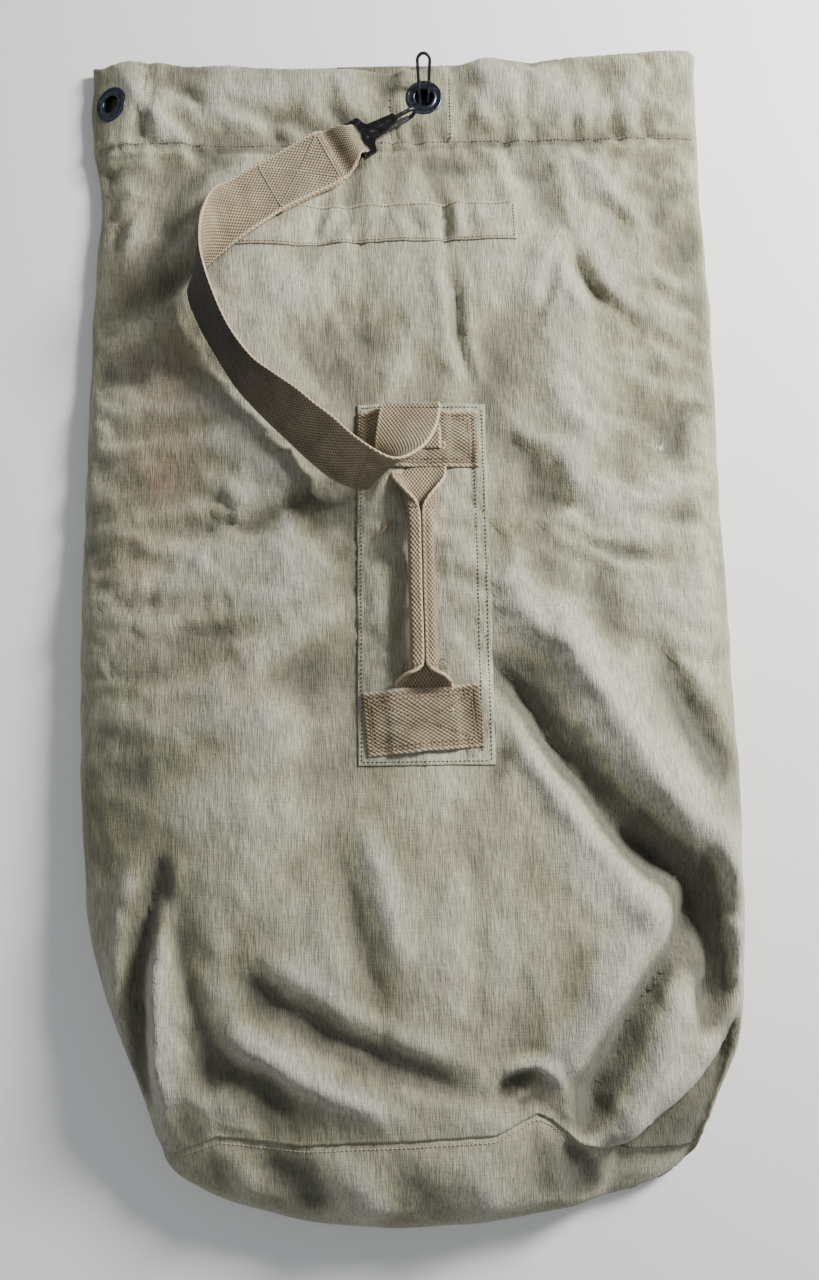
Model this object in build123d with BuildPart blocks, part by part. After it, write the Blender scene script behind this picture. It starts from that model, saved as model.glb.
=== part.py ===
"""Canvas duffel bag, lying on its back with the mouth towards +Y. Millimetres, +Z up."""
import os
from math import atan2, cos, degrees, hypot, radians, sin, tan

from build123d import *

os.makedirs("parts", exist_ok=True)

# ---------------------------------------------------------------- driving dimensions
FLAT_WIDTH = 535.0                    # bag lying flat, half of the mouth's circumference
RIM_Y = 488.0                         # mouth edge
HEM_DEPTH = 83.0                      # turned-in band at the mouth
SEAM_Y = -423.0                       # seam between the tube and the round base
BASE_TIP_Y = -488.0                   # lowest point of the base
MOUTH_HEIGHT = 18.0                   # thickness of the bag at the mouth
CANVAS = 1.2                          # main canvas
FACING = 1.0                          # hem facing and grommet patches
PLY_GAP = 0.05                        # air between sewn plies
LIFT = 1.7                            # mouth stands on the back grommets' flanges
BOTTOM_ROUND = 15.0                   # the underside is this much narrower on each side
OVERSHOOT = 1.0                       # a cutter runs past what it cuts

GROMMET_Y = 447.0
FRONT_GROMMET_X = 25.7
GROMMET_PITCH = FLAT_WIDTH / 2        # four grommets share the circumference
FLANGE_R = 16.0                       # number 5 grommet
BORE_R = 8.0
BARREL_R = 9.0
COLLAR_R = 10.0
WASHER_R = 15.0
WASHER = 1.0
FLANGE = 1.0
FIT = 0.05                            # radial clearance of a sewn or pressed hole
PRESS_CLEAR = 0.5                     # plies are pressed flat this far outside a flange
PRESS_DEPTH = 6.0
ROLL_OVER = 0.4                       # barrel turned over behind the washer
COLLAR_PROUD = 0.2
FLANGE_EDGE = 0.6

WEB = 2.2                             # webbing thickness
WEB_WIDTH = 50.0
PANEL_SKIN = 1.2                      # handle panel and name strip canvas

HALF = FLAT_WIDTH / 2
HEM_Y = RIM_Y - HEM_DEPTH
STACK = CANVAS + 2 * FACING + 2 * PLY_GAP      # canvas, facing and patch at a grommet

# ---------------------------------------------------------------- the bag's cross-sections
# Heights of the top face at these shares of the half width, from the left edge to the right one.
SHARES = (-1.0, -0.985, -0.88, -0.77, -0.45, 0.0, 0.45, 0.88, 0.97, 1.0)
MOUTH_TOP = (8, 10.2, 22.8, 22.5, 19, MOUTH_HEIGHT, MOUTH_HEIGHT, 16.5, 13, 8)
EDGE_SHARE = 0.03                     # inside this share of the edge the wall closes up
# y, half width, bottom height, top heights
STATIONS = (
    (HEM_Y, HALF, LIFT, MOUTH_TOP),
    (300.0, HALF - 1, -1.0, (10, 12, 24, 26, 27, 28, 26, 20, 16, 10)),
    (150.0, HALF - 1, -1.0, (14, 17, 30, 35, 40, 43, 40, 29, 22, 14)),
    (0.0, HALF, -1.0, (18, 21, 38, 45, 52, 56, 52, 37, 29, 18)),
    (-150.0, HALF, -1.0, (22, 26, 45, 54, 64, 69, 64, 45, 35, 22)),
    (-300.0, HALF - 5, -1.0, (26, 31, 53, 62, 73, 78, 73, 54, 41, 26)),
    (-380.0, HALF - 20, -1.0, (26, 31, 52, 61, 71, 76, 71, 53, 41, 26)),
    (SEAM_Y, HALF - 48, -1.0, (26, 30, 46, 54, 62, 67, 62, 47, 37, 26)),
)
BASE_STATIONS = (
    STATIONS[-1],
    (SEAM_Y - 34, HALF - 66, -1.0, (22, 25, 37, 43, 50, 54, 50, 37, 30, 22)),
    (SEAM_Y - 56, HALF - 92, -1.0, (16, 18, 25, 29, 33, 35, 33, 25, 21, 16)),
    (BASE_TIP_Y, HALF - 122, -1.0, (12, 13, 16, 18, 20, 21, 20, 16, 14, 12)),
)
EDGE_SLOPE = 4 / 150                  # the side edges rise towards the base
EDGE_HEIGHT = 18.0                    # and lie at this height halfway along
SPLIT = Plane(origin=(0, 0, EDGE_HEIGHT), z_dir=(0, EDGE_SLOPE, 1))


def across(y):
    """Plane square to the bag's length: local x is +X and local y is +Z."""
    return Plane(origin=(0, y, 0), x_dir=(1, 0, 0), z_dir=(0, -1, 0))


def outline_section(station, inset):
    """Draw one closed cross-section of the bag, pulled in by inset, as lines."""
    _, half, low, tops = station
    points = []
    for share, top in zip(SHARES, tops):
        drop = inset * min(1.0, (1 - abs(share)) / EDGE_SHARE)
        points.append((share * (half - inset), top - drop))
    floor = (max(low, 0.0) if inset else low) + inset
    corner = half - inset - BOTTOM_ROUND
    Polyline(*points, (corner, floor), (-corner, floor), close=True)


def bag_loft(stations, inset):
    """Solid through the bag's cross-sections."""
    with BuildPart() as lofted:
        for station in stations:
            with BuildSketch(across(station[0])):
                with BuildLine():
                    outline_section(station, inset)
                make_face()
        loft(ruled=True)
    return lofted.part


def mouth_prism(inset, depth=HEM_DEPTH):
    """Straight prism of the mouth section over the hem."""
    with BuildPart() as prism:
        with BuildSketch(across(HEM_Y)):
            with BuildLine():
                outline_section(STATIONS[0], inset)
            make_face()
        extrude(amount=-depth)
    return prism.part


# ---------------------------------------------------------------- grommet places
TILT = 24.0                           # the left grommet sits on the sloping edge
LEFT_GROMMET = (-250.0, GROMMET_Y, 16.6)
BACK_X = FRONT_GROMMET_X + GROMMET_PITCH - FLAT_WIDTH    # front grommet's place plus one pitch
GROMMETS = {
    "front": Plane(origin=(FRONT_GROMMET_X, GROMMET_Y, MOUTH_HEIGHT + FIT), z_dir=(0, 0, 1)),
    "left": Plane(
        origin=LEFT_GROMMET, x_dir=(cos(radians(TILT)), 0, sin(radians(TILT))),
        z_dir=(-sin(radians(TILT)), 0, cos(radians(TILT))),
    ),
    "right": Plane(origin=(-BACK_X, GROMMET_Y, LIFT - FIT), z_dir=(0, 0, -1)),
    "back": Plane(origin=(-FRONT_GROMMET_X, GROMMET_Y, LIFT - FIT), z_dir=(0, 0, -1)),
}
FRONT_HALF = ("front", "left")
BACK_HALF = ("right", "back")


def grommet_cutter(plane):
    """The barrel's hole, with the plies pressed flat between flange and washer."""
    with BuildPart() as cutter:
        with BuildSketch(plane.offset(-STACK - PRESS_DEPTH)):
            Circle(BARREL_R + FIT)
        extrude(amount=STACK + 2 * PRESS_DEPTH)
        with BuildSketch(plane):
            Circle(FLANGE_R + PRESS_CLEAR)
        extrude(amount=PRESS_DEPTH)
        with BuildSketch(plane.offset(-STACK)):
            Circle(WASHER_R + PRESS_CLEAR)
        extrude(amount=-PRESS_DEPTH)
    return cutter.part


# ---------------------------------------------------------------- canvas tube
with BuildPart() as tube_outer:
    add(bag_loft(STATIONS, 0))
    add(mouth_prism(0))
    split(bisect_by=Plane.XY, keep=Keep.TOP)

with BuildPart() as tube_shell:
    add(tube_outer.part)
    add(bag_loft(STATIONS, CANVAS), mode=Mode.SUBTRACT)
    add(mouth_prism(CANVAS, HEM_DEPTH + OVERSHOOT), mode=Mode.SUBTRACT)

with BuildPart() as front_panel:
    add(tube_shell.part)
    split(bisect_by=SPLIT, keep=Keep.TOP)
    for place in FRONT_HALF:
        add(grommet_cutter(GROMMETS[place]), mode=Mode.SUBTRACT)

with BuildPart() as back_panel:
    add(tube_shell.part)
    split(bisect_by=SPLIT, keep=Keep.BOTTOM)
    for place in BACK_HALF:
        add(grommet_cutter(GROMMETS[place]), mode=Mode.SUBTRACT)

# ---------------------------------------------------------------- round base
with BuildPart() as base_disc:
    add(bag_loft(BASE_STATIONS, 0))
    add(bag_loft(BASE_STATIONS[:-1], CANVAS), mode=Mode.SUBTRACT)
    split(bisect_by=Plane.XY, keep=Keep.TOP)

# ---------------------------------------------------------------- hem facing and grommet patches
FACING_IN = CANVAS + PLY_GAP
PATCH_IN = FACING_IN + FACING + PLY_GAP
FACING_DEPTH = HEM_DEPTH - 1          # each inner ply stops 1 mm short of the one around it
PATCH_DEPTH = HEM_DEPTH - 2

with BuildPart() as hem_facing:
    add(mouth_prism(FACING_IN, FACING_DEPTH))
    add(mouth_prism(FACING_IN + FACING, HEM_DEPTH + OVERSHOOT), mode=Mode.SUBTRACT)
    for plane in GROMMETS.values():
        add(grommet_cutter(plane), mode=Mode.SUBTRACT)

PATCH_X = {
    "front": (-2.3, 53.7),
    "left": (-HALF, -222.0),
    "right": (212.0, 262.0),
    "back": (-54.0, 2.0),
}
HALFWAY = 10.0                        # height between the front patches and the back ones
FRONT_REACH = 30.0
BACK_REACH = 8.0
patches = {}
for place, plane in GROMMETS.items():
    low_x, high_x = PATCH_X[place]
    is_front = place in FRONT_HALF
    with BuildPart() as patch:
        add(mouth_prism(PATCH_IN, PATCH_DEPTH))
        add(mouth_prism(PATCH_IN + FACING, HEM_DEPTH + OVERSHOOT), mode=Mode.SUBTRACT)
        with BuildSketch(Plane.XY.offset(HALFWAY if is_front else 0.0)):
            with Locations(((low_x + high_x) / 2, (RIM_Y + HEM_Y) / 2)):
                Rectangle(high_x - low_x, HEM_DEPTH + 2 * OVERSHOOT)
        extrude(amount=FRONT_REACH if is_front else BACK_REACH, mode=Mode.INTERSECT)
        add(grommet_cutter(plane), mode=Mode.SUBTRACT)
    patches[place] = patch

# ---------------------------------------------------------------- grommets
grommets = {}
washers = {}
for place, plane in GROMMETS.items():
    with BuildPart() as grommet:
        with BuildSketch(plane):
            Circle(FLANGE_R)
        extrude(amount=FLANGE)
        rims = grommet.edges().filter_by(GeomType.CIRCLE)
        fillet(rims.sort_by(lambda rim: (rim.center() - plane.origin).dot(plane.z_dir))[-1], FLANGE_EDGE)
        with BuildSketch(plane):
            Circle(COLLAR_R)
        extrude(amount=FLANGE + COLLAR_PROUD)
        with BuildSketch(plane.offset(-STACK - WASHER - ROLL_OVER)):
            Circle(BARREL_R)
        extrude(amount=STACK + WASHER + ROLL_OVER)
        with BuildSketch(plane.offset(-STACK - WASHER - ROLL_OVER)):
            Circle(BORE_R)
        extrude(amount=STACK + WASHER + 2 * FLANGE + OVERSHOOT, mode=Mode.SUBTRACT)
    grommets[place] = grommet
    with BuildPart() as washer:
        with BuildSketch(plane.offset(-STACK - FIT)):
            Circle(WASHER_R)
            Circle(BARREL_R + FIT, mode=Mode.SUBTRACT)
        extrude(amount=-WASHER + FIT)
    washers[place] = washer

# ---------------------------------------------------------------- lock staple on the front grommet
WIRE = 2.8
FOOT = 7.0                            # distance between the legs at the foot
HEAD = 10.8                           # and at the widest point
STAPLE_LENGTH = 42.0
LEAN = 42.0                           # resting on the collar, above the canvas
FOOT_OUT = 5.0                        # the foot reaches this far past each leg
FOOT_BEND = 2.0
KEEPER_R = 13.0
KEEPER_PLATE = 1.0
CLIP_WIDTH = 3.0
CLIP_DEPTH = 6.0
CLIP_OUT = 4.2                        # from a leg to the middle of its clip
STAPLE_DROP = STACK + WASHER + 2.0    # the foot lies behind the washer
STAPLE_BACK = 5.0                     # and this far below the bore's centre
STAPLE_PIVOT = (FRONT_GROMMET_X, GROMMET_Y - STAPLE_BACK, MOUTH_HEIGHT - STAPLE_DROP)
staple_plane = Plane(
    origin=STAPLE_PIVOT, x_dir=(1, 0, 0), z_dir=(0, sin(radians(LEAN)), -cos(radians(LEAN))),
)
STAPLE_SIGN = 1 if staple_plane.y_dir.Z > 0 else -1

neck = STAPLE_SIGN * (STAPLE_LENGTH - HEAD / 2)
splay = atan2((HEAD - FOOT) / 2, abs(neck))
with BuildPart() as lock_staple:
    with BuildLine(staple_plane) as bent_wire:
        FilletPolyline(
            (-FOOT / 2 - FOOT_OUT, 0), (-FOOT / 2, 0), (-HEAD / 2, neck), radius=FOOT_BEND)
        JernArc(
            start=(-HEAD / 2, neck), tangent=(-tan(splay), STAPLE_SIGN),
            radius=HEAD / 2 / cos(splay), arc_size=-STAPLE_SIGN * (180 + 2 * degrees(splay)))
        FilletPolyline(
            (HEAD / 2, neck), (FOOT / 2, 0), (FOOT / 2 + FOOT_OUT, 0), radius=FOOT_BEND)
    with BuildSketch(Plane(origin=bent_wire.line @ 0, z_dir=bent_wire.line % 0)):
        Circle(WIRE / 2)
    sweep(path=bent_wire.line)

KEEPER_TOP = STAPLE_PIVOT[2] - WIRE / 2 - 0.2
with BuildPart() as staple_keeper:
    with BuildSketch(Plane.XY.offset(KEEPER_TOP - KEEPER_PLATE)):
        with Locations((FRONT_GROMMET_X, GROMMET_Y)):
            Circle(KEEPER_R)
    extrude(amount=KEEPER_PLATE)
    with BuildSketch(Plane.XY.offset(KEEPER_TOP)):
        with Locations(Location(STAPLE_PIVOT)):
            with GridLocations(FOOT + 2 * CLIP_OUT, 0, 2, 1):
                Rectangle(CLIP_WIDTH, CLIP_DEPTH)
    extrude(amount=WIRE + 0.3)
    with Locations(Plane(origin=STAPLE_PIVOT, z_dir=(1, 0, 0))):
        Cylinder(WIRE / 2 + FIT, 2 * KEEPER_R + 2 * OVERSHOOT, mode=Mode.SUBTRACT)


# ---------------------------------------------------------------- sewn pieces on the front
BODY_FLOOR = 30.0                     # the front canvas lies above this over the body
HEM_FLOOR = 14.0                      # and above this near the mouth
SKIN_REACH = 70.0


def skin_layer(low, high, centre, width, height, turn=0, floor=BODY_FLOOR):
    """Layer from low to high above the front canvas inside a turned rectangle."""
    with BuildPart() as layer:
        add(tube_outer.part.moved(Location((0, 0, high))))
        add(tube_outer.part.moved(Location((0, 0, low))), mode=Mode.SUBTRACT)
        with BuildSketch(Plane.XY.offset(floor)):
            with Locations(Location((*centre, 0), (0, 0, turn))):
                Rectangle(width, height)
        extrude(amount=SKIN_REACH, mode=Mode.INTERSECT)
    return layer.part


HANDLE_X = 12.5
PANEL_SIZE = (106.0, 298.0)
STRIP_SIZE = (250.0, 38.0)
UPPER_ANCHOR_WIDTH = 98.0
LOWER_ANCHOR_WIDTH = 91.0
PANEL_TOP = PLY_GAP + PANEL_SKIN
TAIL_TOP = PANEL_TOP + PLY_GAP + WEB
ANCHOR_TOP = TAIL_TOP + PLY_GAP + WEB
UPPER_ANCHOR_Y = 127.0
LOWER_ANCHOR_Y = -104.0

with BuildPart() as handle_panel:
    add(skin_layer(PLY_GAP, PANEL_TOP, (15.0, 10.0), *PANEL_SIZE, -0.5))

with BuildPart() as upper_anchor:
    upper_middle = (13.0, UPPER_ANCHOR_Y)
    add(skin_layer(TAIL_TOP + PLY_GAP, ANCHOR_TOP, upper_middle, UPPER_ANCHOR_WIDTH, WEB_WIDTH))

with BuildPart() as lower_anchor:
    lower_middle = (12.3, LOWER_ANCHOR_Y)
    add(skin_layer(TAIL_TOP + PLY_GAP, ANCHOR_TOP, lower_middle, LOWER_ANCHOR_WIDTH, WEB_WIDTH, 4.0))

with BuildPart() as name_strip:
    add(skin_layer(PLY_GAP, PANEL_TOP, (-23.0, 325.0), *STRIP_SIZE, 0, HEM_FLOOR))


def top_height(y):
    """Height of the front canvas on the centreline."""
    spans = zip(STATIONS[:-1], STATIONS[1:])
    for (y1, _, _, tops1), (y2, _, _, tops2) in spans:
        if y2 <= y <= y1:
            share = (y1 - y) / (y1 - y2)
            return tops1[5] + share * (tops2[5] - tops1[5])
    return MOUTH_HEIGHT


# ---------------------------------------------------------------- carry handle
GRIP_TOP_Y = 62.0
GRIP_END_Y = -63.0
GRIP_WIDTH = 25.0
GRIP_THICK = 12.0
GRIP_HEIGHT = 17.0                    # grip centre above the panel
GRIP_ROUND = 5.0
CREASE = 3.0                          # web left between the two folded halves
TAB_WIDTH = 46.0
TAB_TUCK = 13.0                       # length held under an anchor
TAB_TIP = (24.0, 6.0)
hinge_start = Vector(HANDLE_X, GRIP_TOP_Y, top_height(GRIP_TOP_Y) + PANEL_TOP)
hinge_end = Vector(HANDLE_X, GRIP_END_Y, top_height(GRIP_END_Y) + PANEL_TOP)
hinge_line = (hinge_end - hinge_start).normalized()
grip_up = Vector(1, 0, 0).cross(hinge_line) * -1


def grip_plane(start, along):
    """Plane square to the handle at a distance along it, with its x axis across the bag."""
    return Plane(origin=start + hinge_line * along, x_dir=(1, 0, 0), z_dir=hinge_line)


with BuildPart() as handle_grip:
    with BuildSketch(grip_plane(hinge_start + grip_up * GRIP_HEIGHT, 0)):
        for side in (-1, 1):
            with Locations((side * GRIP_WIDTH / 4, 0)):
                RectangleRounded(GRIP_WIDTH / 2, GRIP_THICK, GRIP_ROUND)
        Rectangle(GRIP_WIDTH / 2, CREASE)
    extrude(amount=(hinge_end - hinge_start).length)


def handle_tab(tip_y, anchor_edge, outward):
    """Webbing tab: tucked under an anchor, then rising and narrowing to the grip."""
    low = top_height(anchor_edge) + PANEL_TOP + PLY_GAP + WEB / 2
    start = Vector(HANDLE_X, anchor_edge + outward, low)
    clear = Vector(HANDLE_X, anchor_edge + 8 * outward, low + 2)
    tip = Vector(HANDLE_X, tip_y, top_height(tip_y) + PANEL_TOP + GRIP_HEIGHT)
    held = (HANDLE_X, anchor_edge - 4 * outward)
    sections = ((start, (TAB_WIDTH, WEB)), (clear, (TAB_WIDTH - 2, WEB)), (tip, TAB_TIP))
    with BuildPart() as tab:
        add(skin_layer(PANEL_TOP + PLY_GAP, TAIL_TOP, held, TAB_WIDTH, TAB_TUCK))
        for centre, size in sections:
            with BuildSketch(Plane(origin=centre, x_dir=(1, 0, 0), z_dir=(0, -1, 0))):
                Rectangle(*size)
        loft(ruled=True)
    return tab.part


with BuildPart() as handle_tab_upper:
    add(handle_tab(GRIP_TOP_Y + 4.0, UPPER_ANCHOR_Y - WEB_WIDTH / 2, -1))

with BuildPart() as handle_tab_lower:
    add(handle_tab(GRIP_END_Y - 0.5, LOWER_ANCHOR_Y + WEB_WIDTH / 2 + 3.5, 1))

# ---------------------------------------------------------------- shoulder strap
# Rulings of the webbing: lower edge and upper edge, from the anchor to the hook.
STRAP_RULINGS = (
    ((-18, 151, 51), (32, 150, 51)),
    ((-20, 138, 53), (29, 134, 61)),
    ((-22, 118, 55), (20, 113, 80)),
    ((-20, 100, 55), (5, 99, 93)),
    ((-25, 86, 54), (-8, 96, 98)),
    ((-39, 84, 55), (-23, 104, 98)),
    ((-59, 94, 53), (-39, 118, 92)),
    ((-78, 111, 50), (-53, 133, 87)),
    ((-95, 128, 48), (-68, 146, 84)),
    ((-112, 145, 45), (-83, 160, 81)),
    ((-134, 171, 42), (-101, 174, 78)),
    ((-150, 198, 38), (-119, 189, 76)),
    ((-167, 230, 34), (-138, 217, 72)),
    ((-177, 257, 31), (-152, 250, 72)),
    ((-174, 274, 31), (-160, 279, 76)),
    ((-165, 284, 32), (-161, 304, 74)),
    ((-152, 294, 33), (-160, 328, 61)),
    ((-137, 305, 33), (-156, 350, 45)),
    ((-118, 319, 33), (-142, 365, 34)),
    ((-99, 334, 31), (-122, 379, 30)),
    ((-73, 350, 29), (-96, 396, 27)),
    ((-46, 366, 27), (-69, 412, 26)),
)
BOX_START = 19                        # the ruling where the folded-back end begins
STRAP_END = ((-31, 388, 26.3), (-44, 412, 26.3))


def ruling_section(rulings, index):
    """Plane square to the webbing at one ruling, and the ruling's length."""
    low, high = (Vector(*end) for end in rulings[index])
    before = rulings[max(index - 1, 0)]
    after = rulings[min(index + 1, len(rulings) - 1)]
    advance = Vector(*after[0]) + Vector(*after[1]) - Vector(*before[0]) - Vector(*before[1])
    width_line = high - low
    normal = advance.cross(width_line).normalized()
    plane = Plane(origin=(low + high) * 0.5, x_dir=width_line, z_dir=width_line.cross(normal))
    return plane, width_line.length


def ribbon(rulings, first, last, thick):
    """Webbing of one thickness, lofted from each ruling to the next."""
    with BuildPart() as band:
        for index in range(first, last):
            for end in (index, index + 1):
                plane, width = ruling_section(rulings, end)
                with BuildSketch(plane):
                    Rectangle(width, thick)
            loft(ruled=True)
    return band.part


BAR_LOOP_LENGTH = 28.4                # the pinched end of the strap round the hook's bar
HOOK_BAR = Vector(-34.5, 401.5, 26.3)             # centre of the bar that the strap wraps
HOOK_NOSE = Vector(18.5, 430.0, 31.6)             # top of the nose
HOOK_WIRE = 3.4
EYE_BAR = 3.8
BAR_CLEAR = 0.3
hook_run = HOOK_NOSE - HOOK_BAR
hook_heading = degrees(atan2(hook_run.Y, hook_run.X))
HOOK_LENGTH = hypot(hook_run.X, hook_run.Y)
HOOK_RISE = HOOK_NOSE.Z - HOOK_BAR.Z
hook_side = Plane(
    origin=HOOK_BAR, x_dir=(cos(radians(hook_heading)), sin(radians(hook_heading)), 0),
    z_dir=(sin(radians(hook_heading)), -cos(radians(hook_heading)), 0),
)                                                 # local x runs to the nose, local y is up

with BuildPart() as shoulder_strap:
    all_rulings = STRAP_RULINGS + (STRAP_END,)
    add(ribbon(all_rulings, 0, BOX_START, WEB))
    add(ribbon(all_rulings, BOX_START, len(STRAP_RULINGS), 2 * WEB))
    with Locations(Plane(origin=HOOK_BAR, z_dir=hook_side.z_dir)):
        Cylinder(EYE_BAR / 2 + BAR_CLEAR + WEB, BAR_LOOP_LENGTH)
        Cylinder(EYE_BAR / 2 + BAR_CLEAR, 2 * BAR_LOOP_LENGTH, mode=Mode.SUBTRACT)

TAIL_X = 6.5
TAIL_LENGTH = 32.0
FOLD_Y = 152.5                        # above the anchor the tail turns back on itself
fold_low = top_height(FOLD_Y) + PANEL_TOP + PLY_GAP
fold_high = STRAP_RULINGS[0][0][2] + WEB / 2
fold_mid = (fold_low + fold_high) / 2
fold_r = (fold_high - fold_low) / 2
fold_side = Plane(origin=(TAIL_X - WEB_WIDTH / 2, FOLD_Y, 0), x_dir=(0, 1, 0), z_dir=(1, 0, 0))

with BuildPart() as strap_tail:
    tail_middle = (TAIL_X, FOLD_Y + 0.5 - TAIL_LENGTH / 2)
    add(skin_layer(PANEL_TOP + PLY_GAP, TAIL_TOP, tail_middle, WEB_WIDTH, TAIL_LENGTH))
    with BuildSketch(fold_side):
        with BuildLine():
            Line((0, fold_low), (0, fold_low + WEB))
            ThreePointArc((0, fold_low + WEB), (fold_r - WEB, fold_mid), (0, fold_high - WEB))
            Line((0, fold_high - WEB), (0, fold_high))
            ThreePointArc((0, fold_high), (fold_r, fold_mid), (0, fold_low))
        make_face()
    extrude(amount=WEB_WIDTH)

# ---------------------------------------------------------------- snap hook
SHANK = 2.6                           # plate thickness
NOSE_R = 5.6
EYE_WIDTH = 36.0
EYE_ARM = 3.6
EYE_FRONT = 11.0                      # the eye's front bar ends here, past the wrapped bar
PLATE_WIDTH = 15.6
PLATE_TIP = 7.4                       # plate width where it runs out into the wire
SHANK_END = 40.0
WIRE_START = SHANK_END - 3.0
PLATE_RISE = radians(7.5)
PIVOT = (20.0, -1.2)                  # gate rivet along and above the bar
RIVET_R = 1.2
RIVET_HOLE_R = 1.25
RIVET_HEAD_R = 2.0
RIVET_HEAD = 1.0
CHEEK = 1.0
CHEEK_GAP = 7.0
CHEEK_SIZE = (5.4, 6.0)
WIRE_RISE = HOOK_RISE - 0.2           # wire's centre line


def hook_point(along, height):
    """Point in the hook's own side plane."""
    return hook_side.from_local_coords((along, height, 0))


def across_hook(along, height, aside=0.0):
    """Plane for a cylinder lying across the hook."""
    centre = hook_point(along, height) + hook_side.z_dir * aside
    return Plane(origin=centre, z_dir=hook_side.z_dir)


shank_plane = Plane(
    origin=HOOK_BAR,
    x_dir=hook_side.x_dir * cos(PLATE_RISE) + Vector(0, 0, sin(PLATE_RISE)),
    z_dir=Vector(0, 0, cos(PLATE_RISE)) - hook_side.x_dir * sin(PLATE_RISE),
)
PLATE_EDGE = (                        # one side of the plate: along, half width, corner radius
    (EYE_FRONT - 4.5, EYE_WIDTH / 2, 0.5),
    (EYE_FRONT, EYE_WIDTH / 2, 2.5),
    (EYE_FRONT + 3.5, PLATE_WIDTH / 2, 5.0),
    (SHANK_END, PLATE_TIP / 2, 2.0),
)
plate_corners = [(along, width) for along, width, _ in PLATE_EDGE]
plate_corners += [(along, -width) for along, width, _ in reversed(PLATE_EDGE)]
plate_radii = [radius for _, _, radius in PLATE_EDGE + PLATE_EDGE[::-1]]

with BuildPart() as snap_hook:
    with BuildSketch(shank_plane.offset(-SHANK / 2)):
        with BuildLine():
            FilletPolyline(*plate_corners, radius=plate_radii, close=True)
        make_face()
        with Locations((EYE_FRONT / 2 - 1.3, 0)):
            with GridLocations(0, EYE_WIDTH - EYE_ARM, 1, 2):
                Rectangle(EYE_FRONT - 2.6, EYE_ARM)
    extrude(amount=SHANK)
    with Locations(Plane(origin=HOOK_BAR, x_dir=(0, 0, 1), z_dir=hook_side.z_dir)):
        Cylinder(EYE_BAR / 2, EYE_WIDTH)
    nose_x = HOOK_LENGTH - NOSE_R - HOOK_WIRE / 2
    with BuildLine(hook_side) as hook_path:
        Line((WIRE_START, WIRE_RISE), (nose_x, WIRE_RISE))
        ThreePointArc(
            (nose_x, WIRE_RISE), (nose_x + NOSE_R, WIRE_RISE - NOSE_R), (nose_x, WIRE_RISE - 2 * NOSE_R)
        )
        Line((nose_x, WIRE_RISE - 2 * NOSE_R), (nose_x - 6, WIRE_RISE - 2 * NOSE_R))
    with BuildSketch(Plane(origin=hook_point(WIRE_START, WIRE_RISE), z_dir=hook_side.x_dir)):
        Circle(HOOK_WIRE / 2)
    sweep(path=hook_path.wires()[0])
    for side in (-1, 1):
        with BuildSketch(hook_side.offset(side * (CHEEK_GAP + CHEEK) / 2 - CHEEK / 2)):
            with Locations((PIVOT[0], PIVOT[1] + 1.4)):
                Rectangle(*CHEEK_SIZE)
        extrude(amount=CHEEK)
    with Locations(across_hook(*PIVOT)):
        Cylinder(RIVET_HOLE_R, CHEEK_GAP + 6 * CHEEK, mode=Mode.SUBTRACT)

GATE_BARREL_R = 2.1
GATE_WIDTH = 3.6
GATE_ASIDE = 1.0                      # the spring takes the other side of the rivet
GATE_REST = 0.35                      # above the hook's tip
GATE_THICK = 1.2
TIP_TOP = WIRE_RISE - 2 * NOSE_R + HOOK_WIRE / 2
gate_end = nose_x - 1.0
gate_knee = gate_end - 6.0
with BuildPart() as snap_gate:
    with BuildSketch(hook_side.offset(GATE_ASIDE - GATE_WIDTH / 2)):
        with Locations(PIVOT):
            Circle(GATE_BARREL_R)
        with BuildLine():
            Polyline(
                (PIVOT[0], PIVOT[1] - 1.9),
                (gate_knee, TIP_TOP + GATE_REST),
                (gate_end, TIP_TOP + GATE_REST),
                (gate_end, TIP_TOP + GATE_REST + GATE_THICK),
                (gate_knee, TIP_TOP + GATE_REST + GATE_THICK),
                (PIVOT[0], PIVOT[1] - 1.9 + GATE_THICK),
                close=True,
            )
        make_face()
        with Locations(PIVOT):
            Circle(RIVET_HOLE_R, mode=Mode.SUBTRACT)
    extrude(amount=GATE_WIDTH)

with BuildPart() as gate_rivet:
    with Locations(across_hook(*PIVOT)):
        Cylinder(RIVET_R, CHEEK_GAP + 2.2)
    for side in (-1, 1):
        head_aside = side * (CHEEK_GAP / 2 + CHEEK + 0.1 + RIVET_HEAD / 2)
        with Locations(across_hook(*PIVOT, head_aside)):
            Cylinder(RIVET_HEAD_R, RIVET_HEAD)

SPRING_WIDTH = 2.0
SPRING_R = 1.95
SPRING_ASIDE = -2.1
with BuildPart() as gate_spring:
    with Locations(across_hook(*PIVOT, SPRING_ASIDE)):
        Cylinder(SPRING_R, SPRING_WIDTH)
        Cylinder(RIVET_HOLE_R + FIT, 2 * SPRING_WIDTH, mode=Mode.SUBTRACT)

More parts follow.
